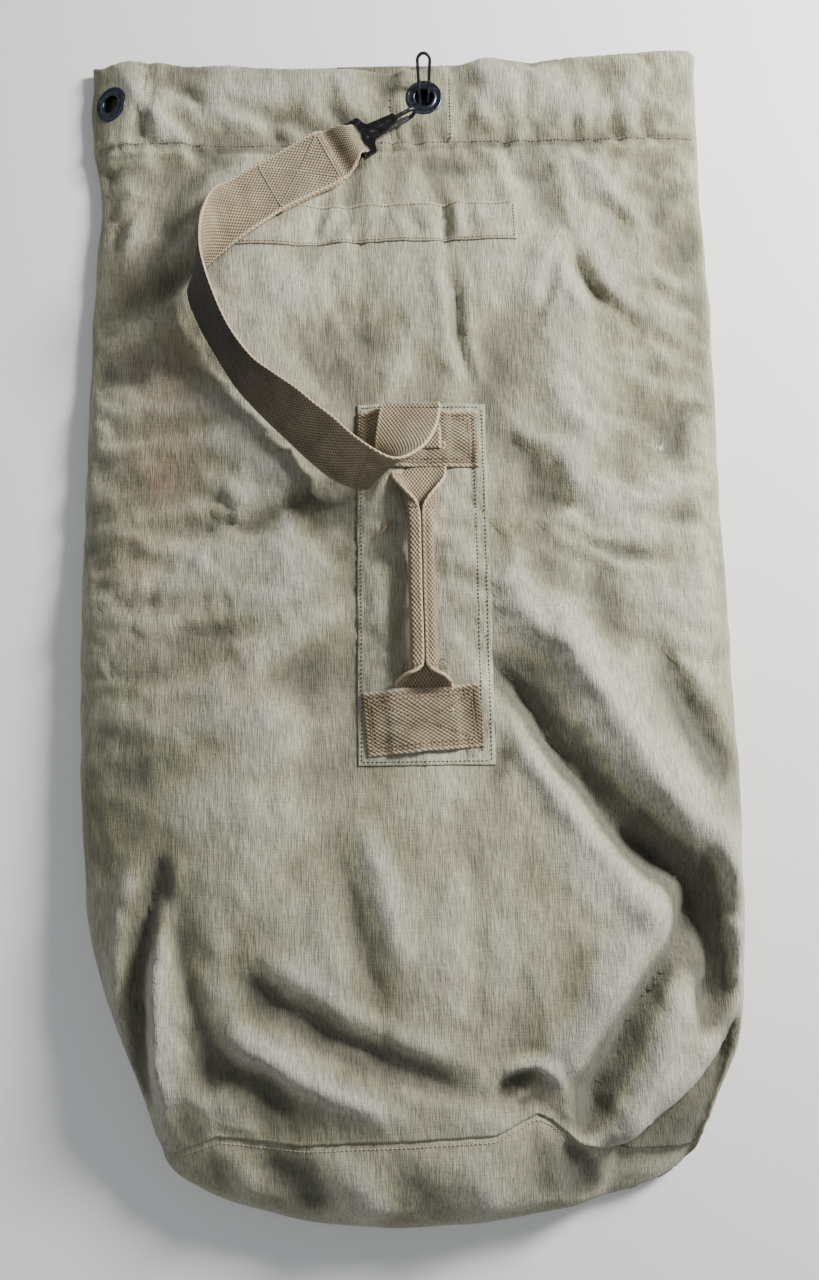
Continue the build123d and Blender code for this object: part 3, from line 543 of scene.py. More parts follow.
# Folds of the front: height (minus for a valley), width on the left and right of the way, and the way.
FOLDS = (
    (10.0, 24, 30, ((66, 26), (92, -8), (124, -46), (165, -108), (200, -160), (232, -190))),
    (-15.0, 26, 12, ((62, -48), (88, -87), (110, -119), (134, -154), (158, -186), (188, -214), (215, -233))),
    (-25.0, 22, 18, ((158, -184), (188, -213), (215, -234), (228, -260), (230, -297), (225, -335),
                     (214, -356))),
    (-6.0, 12, 12, ((203, -32), (214, -80), (236, -125), (250, -168))),
    (12.0, 11, 10, ((249, -196), (251, -240), (251, -290), (246, -336))),
    (-3.0, 6, 7, ((61, -158), (68, -142), (77, -126))),
    (-21.0, 15, 17, ((234, -232), (220, -256), (203, -280), (184, -306), (168, -329), (147, -362),
                     (133, -384), (125, -436))),
    (6.0, 18, 16, ((184, -258), (170, -280), (148, -312), (122, -352), (104, -384))),
    (-7.0, 15, 12, ((-197, -190), (-186, -245), (-173, -293), (-160, -350), (-152, -400))),
    (-12.0, 8, 11, ((-192, -196), (-204, -250), (-211, -307), (-209, -352), (-204, -396))),
    (6.0, 11, 11, ((-184, -232), (-192, -300), (-193, -359), (-188, -410))),
    (-6.0, 14, 16, ((-158, -352), (-124, -378), (-92, -402))),
    (-10.0, 12, 22, ((-150, -292), (-122, -300), (-92, -318), (-62, -337), (-20, -360), (22, -380),
                     (48, -392))),
    (4.5, 8, 10, ((56, -366), (78, -366), (98, -374), (112, -392))),
    (-7.0, 7, 8, ((54, -398), (68, -386), (88, -380), (104, -392))),
    (5.5, 14, 12, ((-150, -328), (-110, -352), (-78, -372), (-38, -394), (-6, -409))),
    (-4.5, 14, 12, ((-62, -180), (-50, -226), (-39, -266), (-18, -340))),
    (3.5, 14, 14, ((-34, -170), (-20, -230), (-8, -300))),
    (-3.6, 10, 14, ((48, -180), (51, -240), (48, -275), (46, -348))),
    (-3.5, 4.5, 7, ((42, 300), (48, 261), (49, 211), (58, 186), (73, 158))),
    (2.6, 9, 9, ((30, 300), (34, 250), (36, 200), (50, 165))),
    (-3.2, 4, 7, ((136, 297), (124, 251), (109, 219))),
    (-3.4, 4.5, 7, ((147, 297), (163, 260), (186, 240), (203, 227), (211, 242))),
    (-2.8, 5, 6, ((200, 223), (208, 200), (213, 176))),
    (2.8, 9, 9, ((128, 286), (142, 256), (160, 232), (150, 200))),
    (-2.0, 5, 5, ((106, 78), (128, 68), (152, 60))),
    (-2.2, 5, 6, ((136, 37), (170, 31), (210, 22))),
    (-4.0, 13, 13, ((-276, 392), (-250, 383), (-214, 380))),
    (-4.5, 16, 12, ((-276, 206), (-248, 190), (-206, 186))),
    (3.0, 16, 16, ((-240, 330), (-212, 270), (-190, 200))),
    (-3.2, 10, 14, ((-206, 300), (-186, 246), (-150, 190), (-118, 168))),
    (2.6, 12, 12, ((-150, 60), (-120, 96), (-78, 130), (-40, 152))),
    (-3.0, 10, 10, ((-132, 40), (-98, 72), (-58, 92), (-36, 98))),
    (-2.4, 9, 9, ((-122, -30), (-84, -12), (-40, 4))),
    (3.4, 20, 22, ((-120, -70), (-100, -130), (-96, -200))),
    (-2.8, 12, 16, ((-90, -44), (-78, -96), (-76, -150))),
    (3.2, 22, 18, ((206, 120), (198, 60), (204, 0))),
    (-3.2, 16, 14, ((232, 168), (226, 100), (230, 30))),
    (-2.6, 8, 12, ((100, 170), (122, 150), (150, 118), (160, 90))),
    (2.4, 9, 9, ((84, 150), (104, 122), (130, 96))),
    (4.2, 13, 15, ((-246, 482), (-232, 462), (-211, 435), (-187, 413), (-170, 388))),
    (-3.4, 7, 8, ((-196, 468), (-180, 458), (-160, 447))),
    (-3.2, 7, 8, ((-226, 448), (-222, 428), (-228, 406))),
    (-3.2, 6, 7, ((-186, 416), (-172, 400), (-158, 402))),
    (-3.4, 6, 6, ((-112, 436), (-103, 420), (-97, 410))),
    (3.0, 7, 8, ((-156, 430), (-128, 432), (-106, 429), (-70, 419))),
    (-4.4, 11, 10, ((-72, 468), (-58, 452), (-44, 438), (-36, 424))),
    (-3.4, 6, 7, ((-158, 456), (-128, 446), (-96, 444))),
    (3.4, 6, 7, ((24, 470), (38, 462), (47, 450), (50, 436), (48, 404))),
    (-3.0, 6, 6, ((12, 436), (17, 420), (20, 404))),
    (-2.8, 7, 8, ((56, 472), (66, 462), (78, 452))),
    (2.4, 7, 7, ((60, 440), (80, 432), (98, 420))),
    (-2.8, 5, 5, ((94, 422), (96, 412), (94, 402))),
    (-3.2, 5, 5, ((122, 426), (123, 414), (120, 403))),
    (-3.2, 5, 6, ((158, 430), (161, 416), (158, 404))),
    (-3.0, 5, 5, ((176, 430), (174, 416), (176, 404))),
    (-3.2, 5, 6, ((194, 434), (192, 418), (196, 404))),
    (-3.0, 5, 6, ((222, 432), (220, 416), (224, 403))),
    (-2.6, 9, 9, ((-10, 386), (50, 383), (100, 372), (149, 371))),
    (-3.4, 6, 6, ((-68, 342), (-70, 322), (-68, 302))),
    (-3.2, 6, 6, ((10, 342), (13, 324), (20, 308))),
    (-3.6, 6, 6, ((40, 348), (42, 326), (40, 304))),
    (2.6, 6, 6, ((50, 346), (53, 328), (52, 306))),
    (-3.0, 6, 6, ((58, 340), (60, 326), (68, 312))),
    (-2.8, 8, 8, ((-66, 284), (-52, 258), (-35, 232))),
    (4.0, 11, 10, ((136, 322), (122, 280), (109, 236))),
    (-4.2, 7, 10, ((147, 308), (157, 276), (174, 240))),
    (-3.6, 7, 7, ((-246, 306), (-241, 326), (-226, 342))),
)
TUCK_LINE = ((262, -322), (240, -352), (214, -376), (176, -402), (140, -424), (112, -452))
FOLD_DEPTH = 1.25                     # all the folds together
VALLEY_SHAPE = (1.15, 0.30)           # how sharply a fold falls away, and the lip raised beside it
RIDGE_SHAPE = (1.4, 0.12)
TUCK_DROP = 17.0                      # the lower right flap lies this much lower


def row_places():
    """Rows along the tube, closer together at the rim, the hem line and the seam."""
    places = [RIM_Y]
    while places[-1] > SEAM_Y + 1.5:
        here = places[-1]
        step = 4.3
        if abs(here - HEM_Y) < 9 or here > RIM_Y - 8:
            step = 2.2
        elif here < SEAM_Y + 16:
            step = 2.4
        places.append(here - step)
    places[-1] = SEAM_Y
    return np.array(places)


ROW_Y = row_places()


def line_value(table, places):
    """Value at some places of a given table of (place, value)."""
    ordered = np.array(sorted(table))
    return np.interp(places, ordered[:, 0], ordered[:, 1])


def bag_rings():
    """Closed rings round the tube: rows x columns x 3, the front first, then right side, back, left side."""
    rows = len(ROW_Y)
    left = blur(line_value(LEFT_EDGE, ROW_Y), 5)
    right = blur(line_value(RIGHT_EDGE, ROW_Y), 5)
    order = np.argsort(STATION_Y)
    tops = [np.interp(ROW_Y, STATION_Y[order], column[order]) for column in STATION_TOPS.T]
    tops = blur(np.stack(tops, 1), 5)
    shares = np.linspace(-1, 1, FRONT_COLUMNS)
    turn = (np.arange(SIDE_COLUMNS) + 1) / (SIDE_COLUMNS + 1) * pi / 2
    back_share = np.linspace(1, -1, BACK_COLUMNS)
    rings = []
    for i in range(rows):
        height = np.interp(shares, SHARES, tops[i])
        front_x = np.where(shares < 0, -shares * left[i], shares * right[i])
        side_x = CORNER * (1 - np.cos(turn))
        side_z = tops[i][0] * (1 - np.sin(turn))
        back_x = np.where(back_share < 0, -back_share * (left[i] + CORNER), back_share * (right[i] - CORNER))
        ring_x = np.concatenate([front_x, right[i] - side_x, back_x, (left[i] + side_x)[::-1]])
        ring_z = np.concatenate([height, side_z, np.zeros(BACK_COLUMNS), side_z[::-1]])
        rings.append(np.stack([ring_x, np.full(len(ring_x), ROW_Y[i]), ring_z], 1))
    return ring_blur(np.array(rings), 4)


def front_weight(rings):
    """1 over the front, falling to 0 at the sides and on the back."""
    columns = rings.shape[1]
    weight = np.zeros(columns)
    weight[:FRONT_COLUMNS] = smooth_step(1 - np.abs(np.linspace(-1, 1, FRONT_COLUMNS)), 0.0, 0.05)
    return np.tile(weight, (rings.shape[0], 1))


def crease_heights(x, y):
    """Listed folds of the front, their ends fading out."""
    total = np.zeros(np.shape(x))
    wander = 3.0 * field(x, y, 34, 4.7, 2)
    for height, left_width, right_width, line in FOLDS:
        signed, share = polyline_field(x, y, line)
        signed = signed + wander * min(1.0, abs(left_width) / 12)
        width = np.where(signed > 0, left_width, right_width)
        fade = np.clip(np.sin(pi * np.clip(share, 0.02, 0.98)) * 1.6, 0, 1)
        away = np.abs(signed) / width
        power, lip_share = VALLEY_SHAPE if height < 0 else RIDGE_SHAPE
        lip = np.exp(-((away - 1.9) / 0.8) ** 2)
        total += height * FOLD_DEPTH * (np.exp(-away ** power) - lip_share * lip) * fade
    signed, share = polyline_field(x, y, TUCK_LINE)
    fade = smooth_step(share, 0.0, 0.12)
    outside = smooth_step(x, 90, 120) * fade
    total -= TUCK_DROP * smooth_step(signed, -3.0, 9.0) * outside
    total -= 10.0 * np.exp(-np.abs((signed - 5.0) / 6.0) ** 1.3) * outside
    total += 5.0 * np.exp(-((signed + 9.0) / 8.0) ** 2) * outside
    return total


CREASE_WIDTH = 0.085                  # in units of the noise


def sharp_creases(x, y, size, seed, stretch, lean):
    """Creases along the zero lines of a noise field: 1 on the line, falling away quickly."""
    value = field(x + lean * y, y - lean * x, size, seed, 2, stretch)
    return np.exp(-np.abs(value) / CREASE_WIDTH)


def crease_sum(x, y, table):
    """Sum of crossing creases from a table of height, size, seed, stretch and lean."""
    return sum(height * sharp_creases(x, y, *shape) for height, *shape in table)


CREASES = (
    (-2.6, 74, 2.2, 1.7, 0.45), (2.4, 66, 21.6, 1.6, -0.6), (-1.7, 44, 31.1, 1.8, 0.2),
    (1.2, 36, 41.9, 1.5, -0.3),
)
FINE_CREASES = ((-0.8, 24, 51.3, 2.2, 0.1), (0.6, 20, 61.7, 2.0, 0.4))


def crumple_heights(x, y):
    """Rumples all over: long soft folds, and sharp creases between flatter facets."""
    bend = 16 * field(x, y, 120, 1.3, 1)
    soft = field(x + bend, y, 85, 7.1, 2, 1.9)
    facets = np.abs(field(x + bend, y - bend, 58, 9.4, 2, 1.4))
    active = smooth_step(field(x, y, 130, 14.2, 1), -0.25, 0.45)
    calm_base = 0.5 + 0.5 * smooth_step(y, -120, 60)
    creases = (0.35 + 0.65 * active) * crease_sum(x, y, CREASES)
    fine = (0.5 + 0.5 * active) * crease_sum(x, y, FINE_CREASES)
    return 3.2 * soft + calm_base * (3.4 * facets + creases) + fine


PATCH_ROWS = ((-1.0, 3.4, 3.2), (47.0, -1.8, 4.0), (51.5, 2.2, 2.6), (-216.0, 1.6, 3.4))
PRESSED_RIM = 1.3                     # cloth stands up round a flange


def stitch_puckers(x, y):
    """Short ripples along the sewn lines of the hem."""
    gap = np.abs(y - HEM_Y)
    ripple = np.sin(2 * pi * x / 17.0 + 2.2 * field(x, y * 0.2, 40, 8.8, 1))
    total = (0.75 * ripple * np.exp(-gap / 9.0) - 1.3 * np.exp(-(gap / 2.6) ** 2)
             + 0.8 * np.exp(-((y - HEM_Y - 8) / 5.0) ** 2))
    uneven = 0.65 + 0.5 * field(x * 0.3, y, 26, 17.5, 1)
    for line_x, depth, width in PATCH_ROWS:
        across = (x - line_x) / width
        beside = np.exp(-across ** 2) - 0.5 * np.exp(-(across - 2.4) ** 2)
        total -= depth * beside * uneven * smooth_step(y, HEM_Y, HEM_Y + 8)
    for place in ("front", "left"):
        away = np.hypot(x - SEATS[place][0], y - SEATS[place][1])
        total += PRESSED_RIM * np.exp(-((away - 21.5) / 3.2) ** 2) * (0.7 + 0.6 * field(x, y, 18, 23.5, 1))
    return total


GROMMET_PLACES = ("front", "left", "right", "back")


LEFT_TILT = radians(24.0)
FLANGE_OUT = {
    "front": np.array((0.0, 0.0, 1.0)), "left": np.array((-sin(LEFT_TILT), 0.0, cos(LEFT_TILT))),
    "right": np.array((0.0, 0.0, -1.0)), "back": np.array((0.0, 0.0, -1.0)),
}
GROMMET_STACK = CANVAS + 2 * FACING + 2 * PLY_GAP
FLANGE_RISE = 1.2                     # collar above the cloth
BARREL_END = GROMMET_STACK + 1.4      # barrel below the cloth's outer face


def seat_of(place):
    """Point on the cloth's outer face at a grommet's centre."""
    low, high = corners("grommet_" + place)
    outward = FLANGE_OUT[place]
    return (low + high) / 2 + outward * (BARREL_END - FLANGE_RISE) / 2


SEATS = {place: seat_of(place) for place in GROMMET_PLACES}
HOLE_R = 9.3
PATCH_WIDTH = 56.0


def flatten_at_grommets(rings):
    """Press the cloth flat onto each grommet's plane."""
    for place, seat in SEATS.items():
        outward = FLANGE_OUT[place]
        offset = rings - seat
        lift = offset @ outward
        radial = np.linalg.norm(offset - lift[..., None] * outward, axis=2)
        near = (1 - smooth_step(radial, 17.5, 32.0)) * (1 - smooth_step(np.abs(lift), 3.5, 8.0))
        rings = rings - (near * lift)[..., None] * outward
    return rings


WRINKLE_GROWTH = -0.028               # negative: the cloth is cut this much too large
WRINKLE_FRAMES = 16
WRINKLE_LIMIT = 6.5                   # tallest wrinkle kept from the simulation
FILLING_GAP = 4.0


SEWN_LINES = (                        # x and the ends of sewn lines that hold the cloth
    (-3.5, HEM_Y, RIM_Y), (51.5, HEM_Y, RIM_Y), (-38, -139, 159), (68, -139, 159),
)
CLOTH = {
    "quality": 6, "mass": 0.0003, "tension_stiffness": 40, "compression_stiffness": 40, "shear_stiffness": 8,
    "bending_stiffness": 0.5, "tension_damping": 5, "compression_damping": 5, "shear_damping": 5,
    "bending_damping": 0.5, "air_damping": 1, "vertex_group_mass": "held", "pin_stiffness": 1,
    "shrink_min": WRINKLE_GROWTH,
}
CLOTH_GRAVITY = 0.4


def grid_object(name, grid):
    """Plain object from a grid of points in millimetres."""
    mesh = bpy.data.meshes.new(name)
    mesh.from_pydata([tuple(point) for point in grid.reshape(-1, 3) * MM], [], grid_faces(*grid.shape[:2]))
    return placed(name, mesh)


def filling_object(grid):
    """Collision surface just under the front, as the bag's contents."""
    filling = grid_object("filling", grid - np.array((0, 0, FILLING_GAP)))
    filling.modifiers.new("collision", "COLLISION")
    filling.collision.thickness_outer = 0.0015
    filling.collision.cloth_friction = 8
    filling.collision.damping = 0.5
    filling.collision.use_culling = False
    return filling


def held_weights(grid):
    """How firmly each point of the front is held: at the edges, the sewn lines and the grommets."""
    rows, columns = grid.shape[:2]
    x, y = grid[..., 0], grid[..., 1]
    side = np.abs(np.linspace(-1, 1, columns))
    held = np.tile(smooth_step(side, 0.97, 1.0), (rows, 1))
    held = np.maximum(held, smooth_step(y, RIM_Y - 8, RIM_Y - 3))
    held = np.maximum(held, 1 - smooth_step(y, SEAM_Y + 4, SEAM_Y + 10))
    held = np.maximum(held, 0.8 * np.exp(-((y - HEM_Y) / 2.4) ** 2))
    for place in ("front", "left"):
        away = np.linalg.norm(grid - SEATS[place], axis=2)
        held = np.maximum(held, 1 - smooth_step(away, 17, 24))
    for line_x, low, high in SEWN_LINES:
        along = smooth_step(y, low, low + 6) * smooth_step(-y, -high, 6 - high)
        held = np.maximum(held, 0.5 * np.exp(-((x - line_x) / 3.0) ** 2) * along)
    return held


def cloth_object(grid):
    """The front as simulated cloth, held along its edges and sewn lines."""
    cloth = grid_object("wrinkling", grid)
    group = cloth.vertex_groups.new(name="held")
    for index, weight in enumerate(held_weights(grid).ravel()):
        if weight > 0.001:
            group.add([index], float(weight), "REPLACE")
    modifier = cloth.modifiers.new("cloth", "CLOTH")
    for key, value in CLOTH.items():
        setattr(modifier.settings, key, value)
    modifier.settings.effector_weights.gravity = CLOTH_GRAVITY
    modifier.collision_settings.distance_min = 0.001
    modifier.collision_settings.use_self_collision = False
    modifier.collision_settings.collision_quality = 3
    modifier.point_cache.frame_start = 1
    modifier.point_cache.frame_end = WRINKLE_FRAMES
    return cloth


def settled_wrinkles(rings):
    """Cloth simulation of the front, a little too large for what it lies on: its wrinkles' heights."""
    grid = rings[:, :FRONT_COLUMNS].copy()
    grid[..., 2] = blur_both(grid[..., 2], 2.0)
    filling = filling_object(grid)
    cloth = cloth_object(grid)
    scene = bpy.context.scene
    for step in range(1, WRINKLE_FRAMES + 1):
        scene.frame_set(step)
    shaped = cloth.evaluated_get(bpy.context.evaluated_depsgraph_get()).to_mesh()
    settled = np.array([tuple(vertex.co) for vertex in shaped.vertices]).reshape(grid.shape) / MM
    scene.frame_set(1)
    for piece in (cloth, filling):
        data = piece.data
        bpy.data.objects.remove(piece)
        bpy.data.meshes.remove(data)
    rise = settled[..., 2] - grid[..., 2]
    rise = rise - blur_both(rise, 9)
    wrinkles = np.zeros(rings.shape[:2])
    wrinkles[:, :FRONT_COLUMNS] = WRINKLE_LIMIT * np.tanh(1.3 * rise / WRINKLE_LIMIT)
    return wrinkles


def wandering_edges(rings, front):
    """The sides wander in and out a little, and the rim and the seam are not straight."""
    x, y = rings[..., 0], rings[..., 1]
    wander = 2.2 * field(y, rings[..., 2] * 0.5, 46, 3.1, 2) * np.sign(x)
    rings[..., 0] += 0.8 * wander * smooth_step(np.abs(x), 215, 262)
    rings[..., 1] += (line_value(RIM_LINE, x) - RIM_Y) * front * smooth_step(y, 330, RIM_Y)
    rings[..., 1] += (line_value(SEAM_LINE, x) - SEAM_Y) * front * smooth_step(-y, 330, -SEAM_Y)


def lift_off_floor(rings, front):
    """The underside lies on the floor, and at the mouth on the grommets' flanges."""
    x, y = rings[..., 0], rings[..., 1]
    flanges = 1.75 * smooth_step(y, 300, HEM_Y)
    under = 0.7 * np.abs(field(x, y, 70, 6.6, 2))
    floor = flanges + under * (1 - front) * (1 - smooth_step(y, 330, HEM_Y))
    rings[..., 2] = np.maximum(rings[..., 2], floor)


def shape_tube():
    """The whole tube with its folds: outer face of the canvas, and how far the folds move it."""
    rings = bag_rings()
    plain = rings[..., 2].copy()
    x, y = rings[..., 0], rings[..., 1]
    front = front_weight(rings)
    thin_mouth = 0.62 + 0.38 * smooth_step(HEM_Y + 20 - y, 0, 150)
    off_panel = smooth_step(np.abs(x - 14), 44, 72) + smooth_step(np.abs(y - 12), 146, 176)
    folds = crease_heights(x, y) * np.clip(thin_mouth + 0.2, 0, 1)
    rumple = crumple_heights(x, y) * thin_mouth * np.clip(off_panel, 0.4, 1.0)
    rings[..., 2] += front * (folds + rumple + stitch_puckers(x, y))
    wandering_edges(rings, front)
    lift_off_floor(rings, front)
    rings[..., 2] += 1.6 * field(x, y, 55, 11.0, 2) * smooth_step(y, RIM_Y - 50, RIM_Y) * front
    lively = 0.5 + 0.5 * smooth_step(y, -220, 120)
    rings[..., 2] += front * lively * settled_wrinkles(rings)
    rings = flatten_at_grommets(rings)
    return rings, (rings[..., 2] - plain) * front


tube, tube_relief = shape_tube()
tube_normals = grid_normals(tube, wrap=True)


# ---------------------------------------------------------------- colour of stains, flecks and painted light
STAINS = (                            # place, radii and strength of brown stains
    (-196, 150, 34, 95, 0.75), (-215, 60, 26, 60, 0.65), (-180, 240, 22, 40, 0.4), (-150, -60, 60, 34, 0.45),
    (-232, 300, 22, 50, 0.5), (-120, -130, 42, 30, 0.35), (10, -300, 50, 26, 0.35), (96, -382, 26, 16, 0.5),
    (150, 110, 40, 20, 0.25), (-100, 320, 60, 20, 0.25),
)
RUBS = ((-205, -458, 10, 5, 1.0), (213, 120, 8, 5, 1.0), (205, 92, 7, 4, 0.8), (247, 146, 5, 5, 0.9))


PAINTED_LIGHT_RELIEF = 8.0                     # height in millimetres that counts as a full crest or hollow: full painted highlight or full painted shade


def blobs(table, x, y):
    """Sum of soft spots from a table of places, radii and strengths."""
    return sum(
        strength * np.exp(-((x - px) / rx) ** 2 - ((y - py) / ry) ** 2) for px, py, rx, ry, strength in table
    )


def paint_wear_and_light(mesh, x, y, height, front):
    """Vertex colour: red for painted highlight on crests and painted shade in hollows and towards the side
    edges, green for stains, blue for pale flecks.
    """
    on_front = front > 0.01
    # painted highlight on crests and painted shade in hollows, from the local relief of the cloth
    relief = np.clip(0.5 + (blur_both(height, 1) - 0.8 * blur_both(height, 7)) / PAINTED_LIGHT_RELIEF, 0, 1)
    relief = np.where(on_front, relief, 0.5)
    # painted shade: darker towards the side edges of the front
    edge_shade = 0.16 * smooth_step(np.abs(x), 238, 268) * front
    channels = (relief - edge_shade, blobs(STAINS, x, y) * on_front, blobs(RUBS, x, y) * on_front)
    values = np.stack([np.clip(channel, 0, 1) for channel in channels], -1).reshape(-1, 3)
    layer = mesh.color_attributes.new("wear_and_painted_light", "FLOAT_COLOR", "POINT")
    for index in range(len(mesh.vertices)):
        layer.data[index].color = (*values[index % len(values)], 1)


HOLE_CLEAR = 1.8                      # faces this much outside the hole's edge are cut away too
HOLE_DEPTH = 6.0                      # how far off the flange's plane a face still belongs to the hole
HOLE_EDGE_REACH = 20.0
HOLE_RIM_REACH = 12.5


def open_grommet_hole(mesh, place):
    """Delete the faces inside a barrel and draw the hole's edge onto a circle."""
    seat, outward = Vector(SEATS[place] * MM), Vector(FLANGE_OUT[place])

    def radial(point):
        offset = point - seat
        along = offset.dot(outward)
        return (offset - outward * along).length / MM, abs(along) / MM, along

    inside = []
    for face in mesh.faces:
        away, depth, _ = radial(face.calc_center_median())
        if away < HOLE_R + HOLE_CLEAR and depth < HOLE_DEPTH:
            inside.append(face)
    bmesh.ops.delete(mesh, geom=inside, context="FACES")
    for vertex in mesh.verts:
        away, depth, along = radial(vertex.co)
        on_edge = any(edge.is_boundary for edge in vertex.link_edges)
        if depth < HOLE_DEPTH and away < HOLE_EDGE_REACH and on_edge:
            offset = vertex.co - seat - outward * along
            vertex.co = seat + outward * along + offset.normalized() * HOLE_R * MM
    edges = []
    for edge in mesh.edges:
        first, second = (vertex.co for vertex in edge.verts)
        near = radial((first + second) / 2)[0] < HOLE_RIM_REACH and radial(first)[1] < HOLE_DEPTH
        if edge.is_boundary and near:
            edges.append(edge)
    if edges:
        bmesh.ops.bridge_loops(mesh, edges=edges)


def open_grommet_holes(piece, places):
    """Cut the holes of some grommets through a piece of cloth."""
    mesh = bmesh.new()
    mesh.from_mesh(piece.data)
    for place in places:
        open_grommet_hole(mesh, place)
    mesh.to_mesh(piece.data)
    mesh.free()


def canvas_tube():
    """The main tube of canvas, rim to base seam."""
    piece = sheet_solid("canvas_tube", tube, tube - tube_normals * CANVAS, CANVAS_OUT, wrap=True)
    # painted highlight on the tube's crests and painted shade in its hollows and at its side edges, with
    # stains and flecks
    paint_wear_and_light(piece.data, tube[..., 0], tube[..., 1], tube_relief, front_weight(tube))
    open_grommet_holes(piece, GROMMET_PLACES)
    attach(piece, "bag")
    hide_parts("front_panel", "back_panel")
    return piece


RIM_TUCK = 0.9                        # the plies end this much short of the rim


def lining(name, low, last_y, columns, node, places, width=None):
    """Ply inside the mouth between the rim and last_y, at a depth below the tube's outer face."""
    rows = [i for i, y in enumerate(ROW_Y) if y >= last_y]
    grid = tube[rows][:, columns]
    normals = tube_normals[rows][:, columns]
    wrap = len(columns) == tube.shape[1]
    grid[0, :, 1] -= RIM_TUCK
    piece = sheet_solid(name, grid - normals * low, grid - normals * (low + FACING), CANVAS_IN, wrap=wrap)
    open_grommet_holes(piece, places)
    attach(piece, "bag")
    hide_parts(node)
    if width is None:
        width = run_of(grid[len(rows) // 2])[-1]


def columns_near(ring, seat):
    """Columns of a ring that lie within half a patch of a grommet, in order."""
    steps = np.linalg.norm(ring - np.roll(ring, 1, axis=0), axis=1)
    nearest = int(np.argmin(np.linalg.norm(ring - seat, axis=1)))
    columns = [nearest]
    for way in (-1, 1):
        reach, j = 0.0, nearest
        while reach < PATCH_WIDTH / 2:
            reach += steps[(j if way > 0 else j - 1) % len(ring)]
            j += way
            columns.append(j % len(ring))
        columns = columns[::-1]
    return np.array(columns)


def hem_and_patches():
    """Turned-in band at the mouth, and a doubling patch at each grommet."""
    low = CANVAS + PLY_GAP
    every = np.arange(tube.shape[1])
    lining("hem_facing_cloth", low, HEM_Y - 2, every, "hem_facing", GROMMET_PLACES, 4 * HALF)
    low = low + FACING + PLY_GAP
    ring = tube[int(np.argmin(np.abs(ROW_Y - SEATS["front"][1])))]
    for place in GROMMET_PLACES:
        columns = columns_near(ring, SEATS[place])
        lining("grommet_patch_cloth_" + place, low, HEM_Y - 0.5, columns, "grommet_patch_" + place, (place,))


# ---------------------------------------------------------------- base
TIP_LINE = (
    (0.0, -200, -434), (0.06, -186, -452), (0.15, -150, -470), (0.28, -84, -487), (0.45, -19, -493),
    (0.62, 58, -489), (0.76, 118, -480), (0.87, 168, -470), (0.95, 203, -456), (1.0, 219, -434),
)
TIP_HEIGHT = 11.0
BASE_RINGS = 26
BASE_COLUMNS = 96


def half_ring(ring, over, samples):
    """The ring's front or back half from its leftmost to its rightmost point, evenly sampled."""
    left, right = int(np.argmin(ring[:, 0])), int(np.argmax(ring[:, 0]))
    step = 1 if over else -1
    path = [ring[left]]
    k = left
    while k != right:
        k = (k + step) % len(ring)
        path.append(ring[k])
    path = np.array(path)
    run = run_of(path)
    places = np.linspace(0, run[-1], samples)
    return np.stack([np.interp(places, run, path[:, k]) for k in range(3)], 1)


LOWEST = 0.6                          # of the base's outer face above the floor
BASE_FOLDS = (                        # height, width on the left and right of the way, and the way
    (-9.0, 16, 13, ((-118, -430), (-94, -440), (-74, -471))),
    (4.0, 14, 14, ((-60, -425), (-40, -450), (-30, -476))),
    (-4.0, 12, 12, ((-14, -424), (-2, -446), (14, -474))),
    (4.5, 16, 14, ((30, -428), (46, -450), (60, -474))),
    (-5.0, 9, 9, ((84, -408), (92, -436), (96, -466))),
    (-13.0, 9, 16, ((116, -418), (124, -440), (128, -468))),
    (-3.5, 8, 9, ((-160, -424), (-150, -440), (-142, -462))),
    (3.0, 9, 9, ((-138, -422), (-128, -440), (-124, -462))),
)


def base_half(seam, tip, over):
    """Rows of the base from the seam's front or back half to the tip line."""
    start = half_ring(seam, over, BASE_COLUMNS)
    rows = []
    for k in range(BASE_RINGS + 1):
        angle = k / BASE_RINGS * pi / 2
        x = start[:, 0] + (tip[:, 0] - start[:, 0]) * (1 - cos(angle)) ** 0.8
        y = start[:, 1] + (tip[:, 1] - start[:, 1]) * sin(angle)
        z = TIP_HEIGHT + (start[:, 2] - TIP_HEIGHT) * cos(angle) ** 0.9
        rows.append(np.stack([x, y, z], 1))
    return np.array(rows)


def base_relief(x, y, from_seam, side_fade):
    """Folds of the visible crescent and puckers along its seam, and how free the cloth is there."""
    free = np.sin(pi * from_seam) ** 0.5
    folds = np.zeros(x.shape)
    for height, left_width, right_width, line in BASE_FOLDS:
        signed, along = polyline_field(x, y, line)
        width = np.where(signed > 0, left_width, right_width)
        fade = np.clip(np.sin(pi * np.clip(along * 0.9 + 0.08, 0, 1)) * 1.7, 0, 1)
        folds += height * np.exp(-np.abs(signed / width) ** 1.7) * fade
    folds += 1.8 * field(x, y, 30, 3.9, 2) - 1.4 * np.exp(-np.abs(field(x, y, 22, 6.2, 2)) / 0.14)
    pucker = 1.3 * np.sin(2 * pi * x / 15.0 + 2.0 * field(x, y * 0.2, 34, 2.8, 1)) * np.exp(-from_seam * 6.0)
    return (folds * free + pucker * np.minimum(1, from_seam * 9)) * side_fade, free


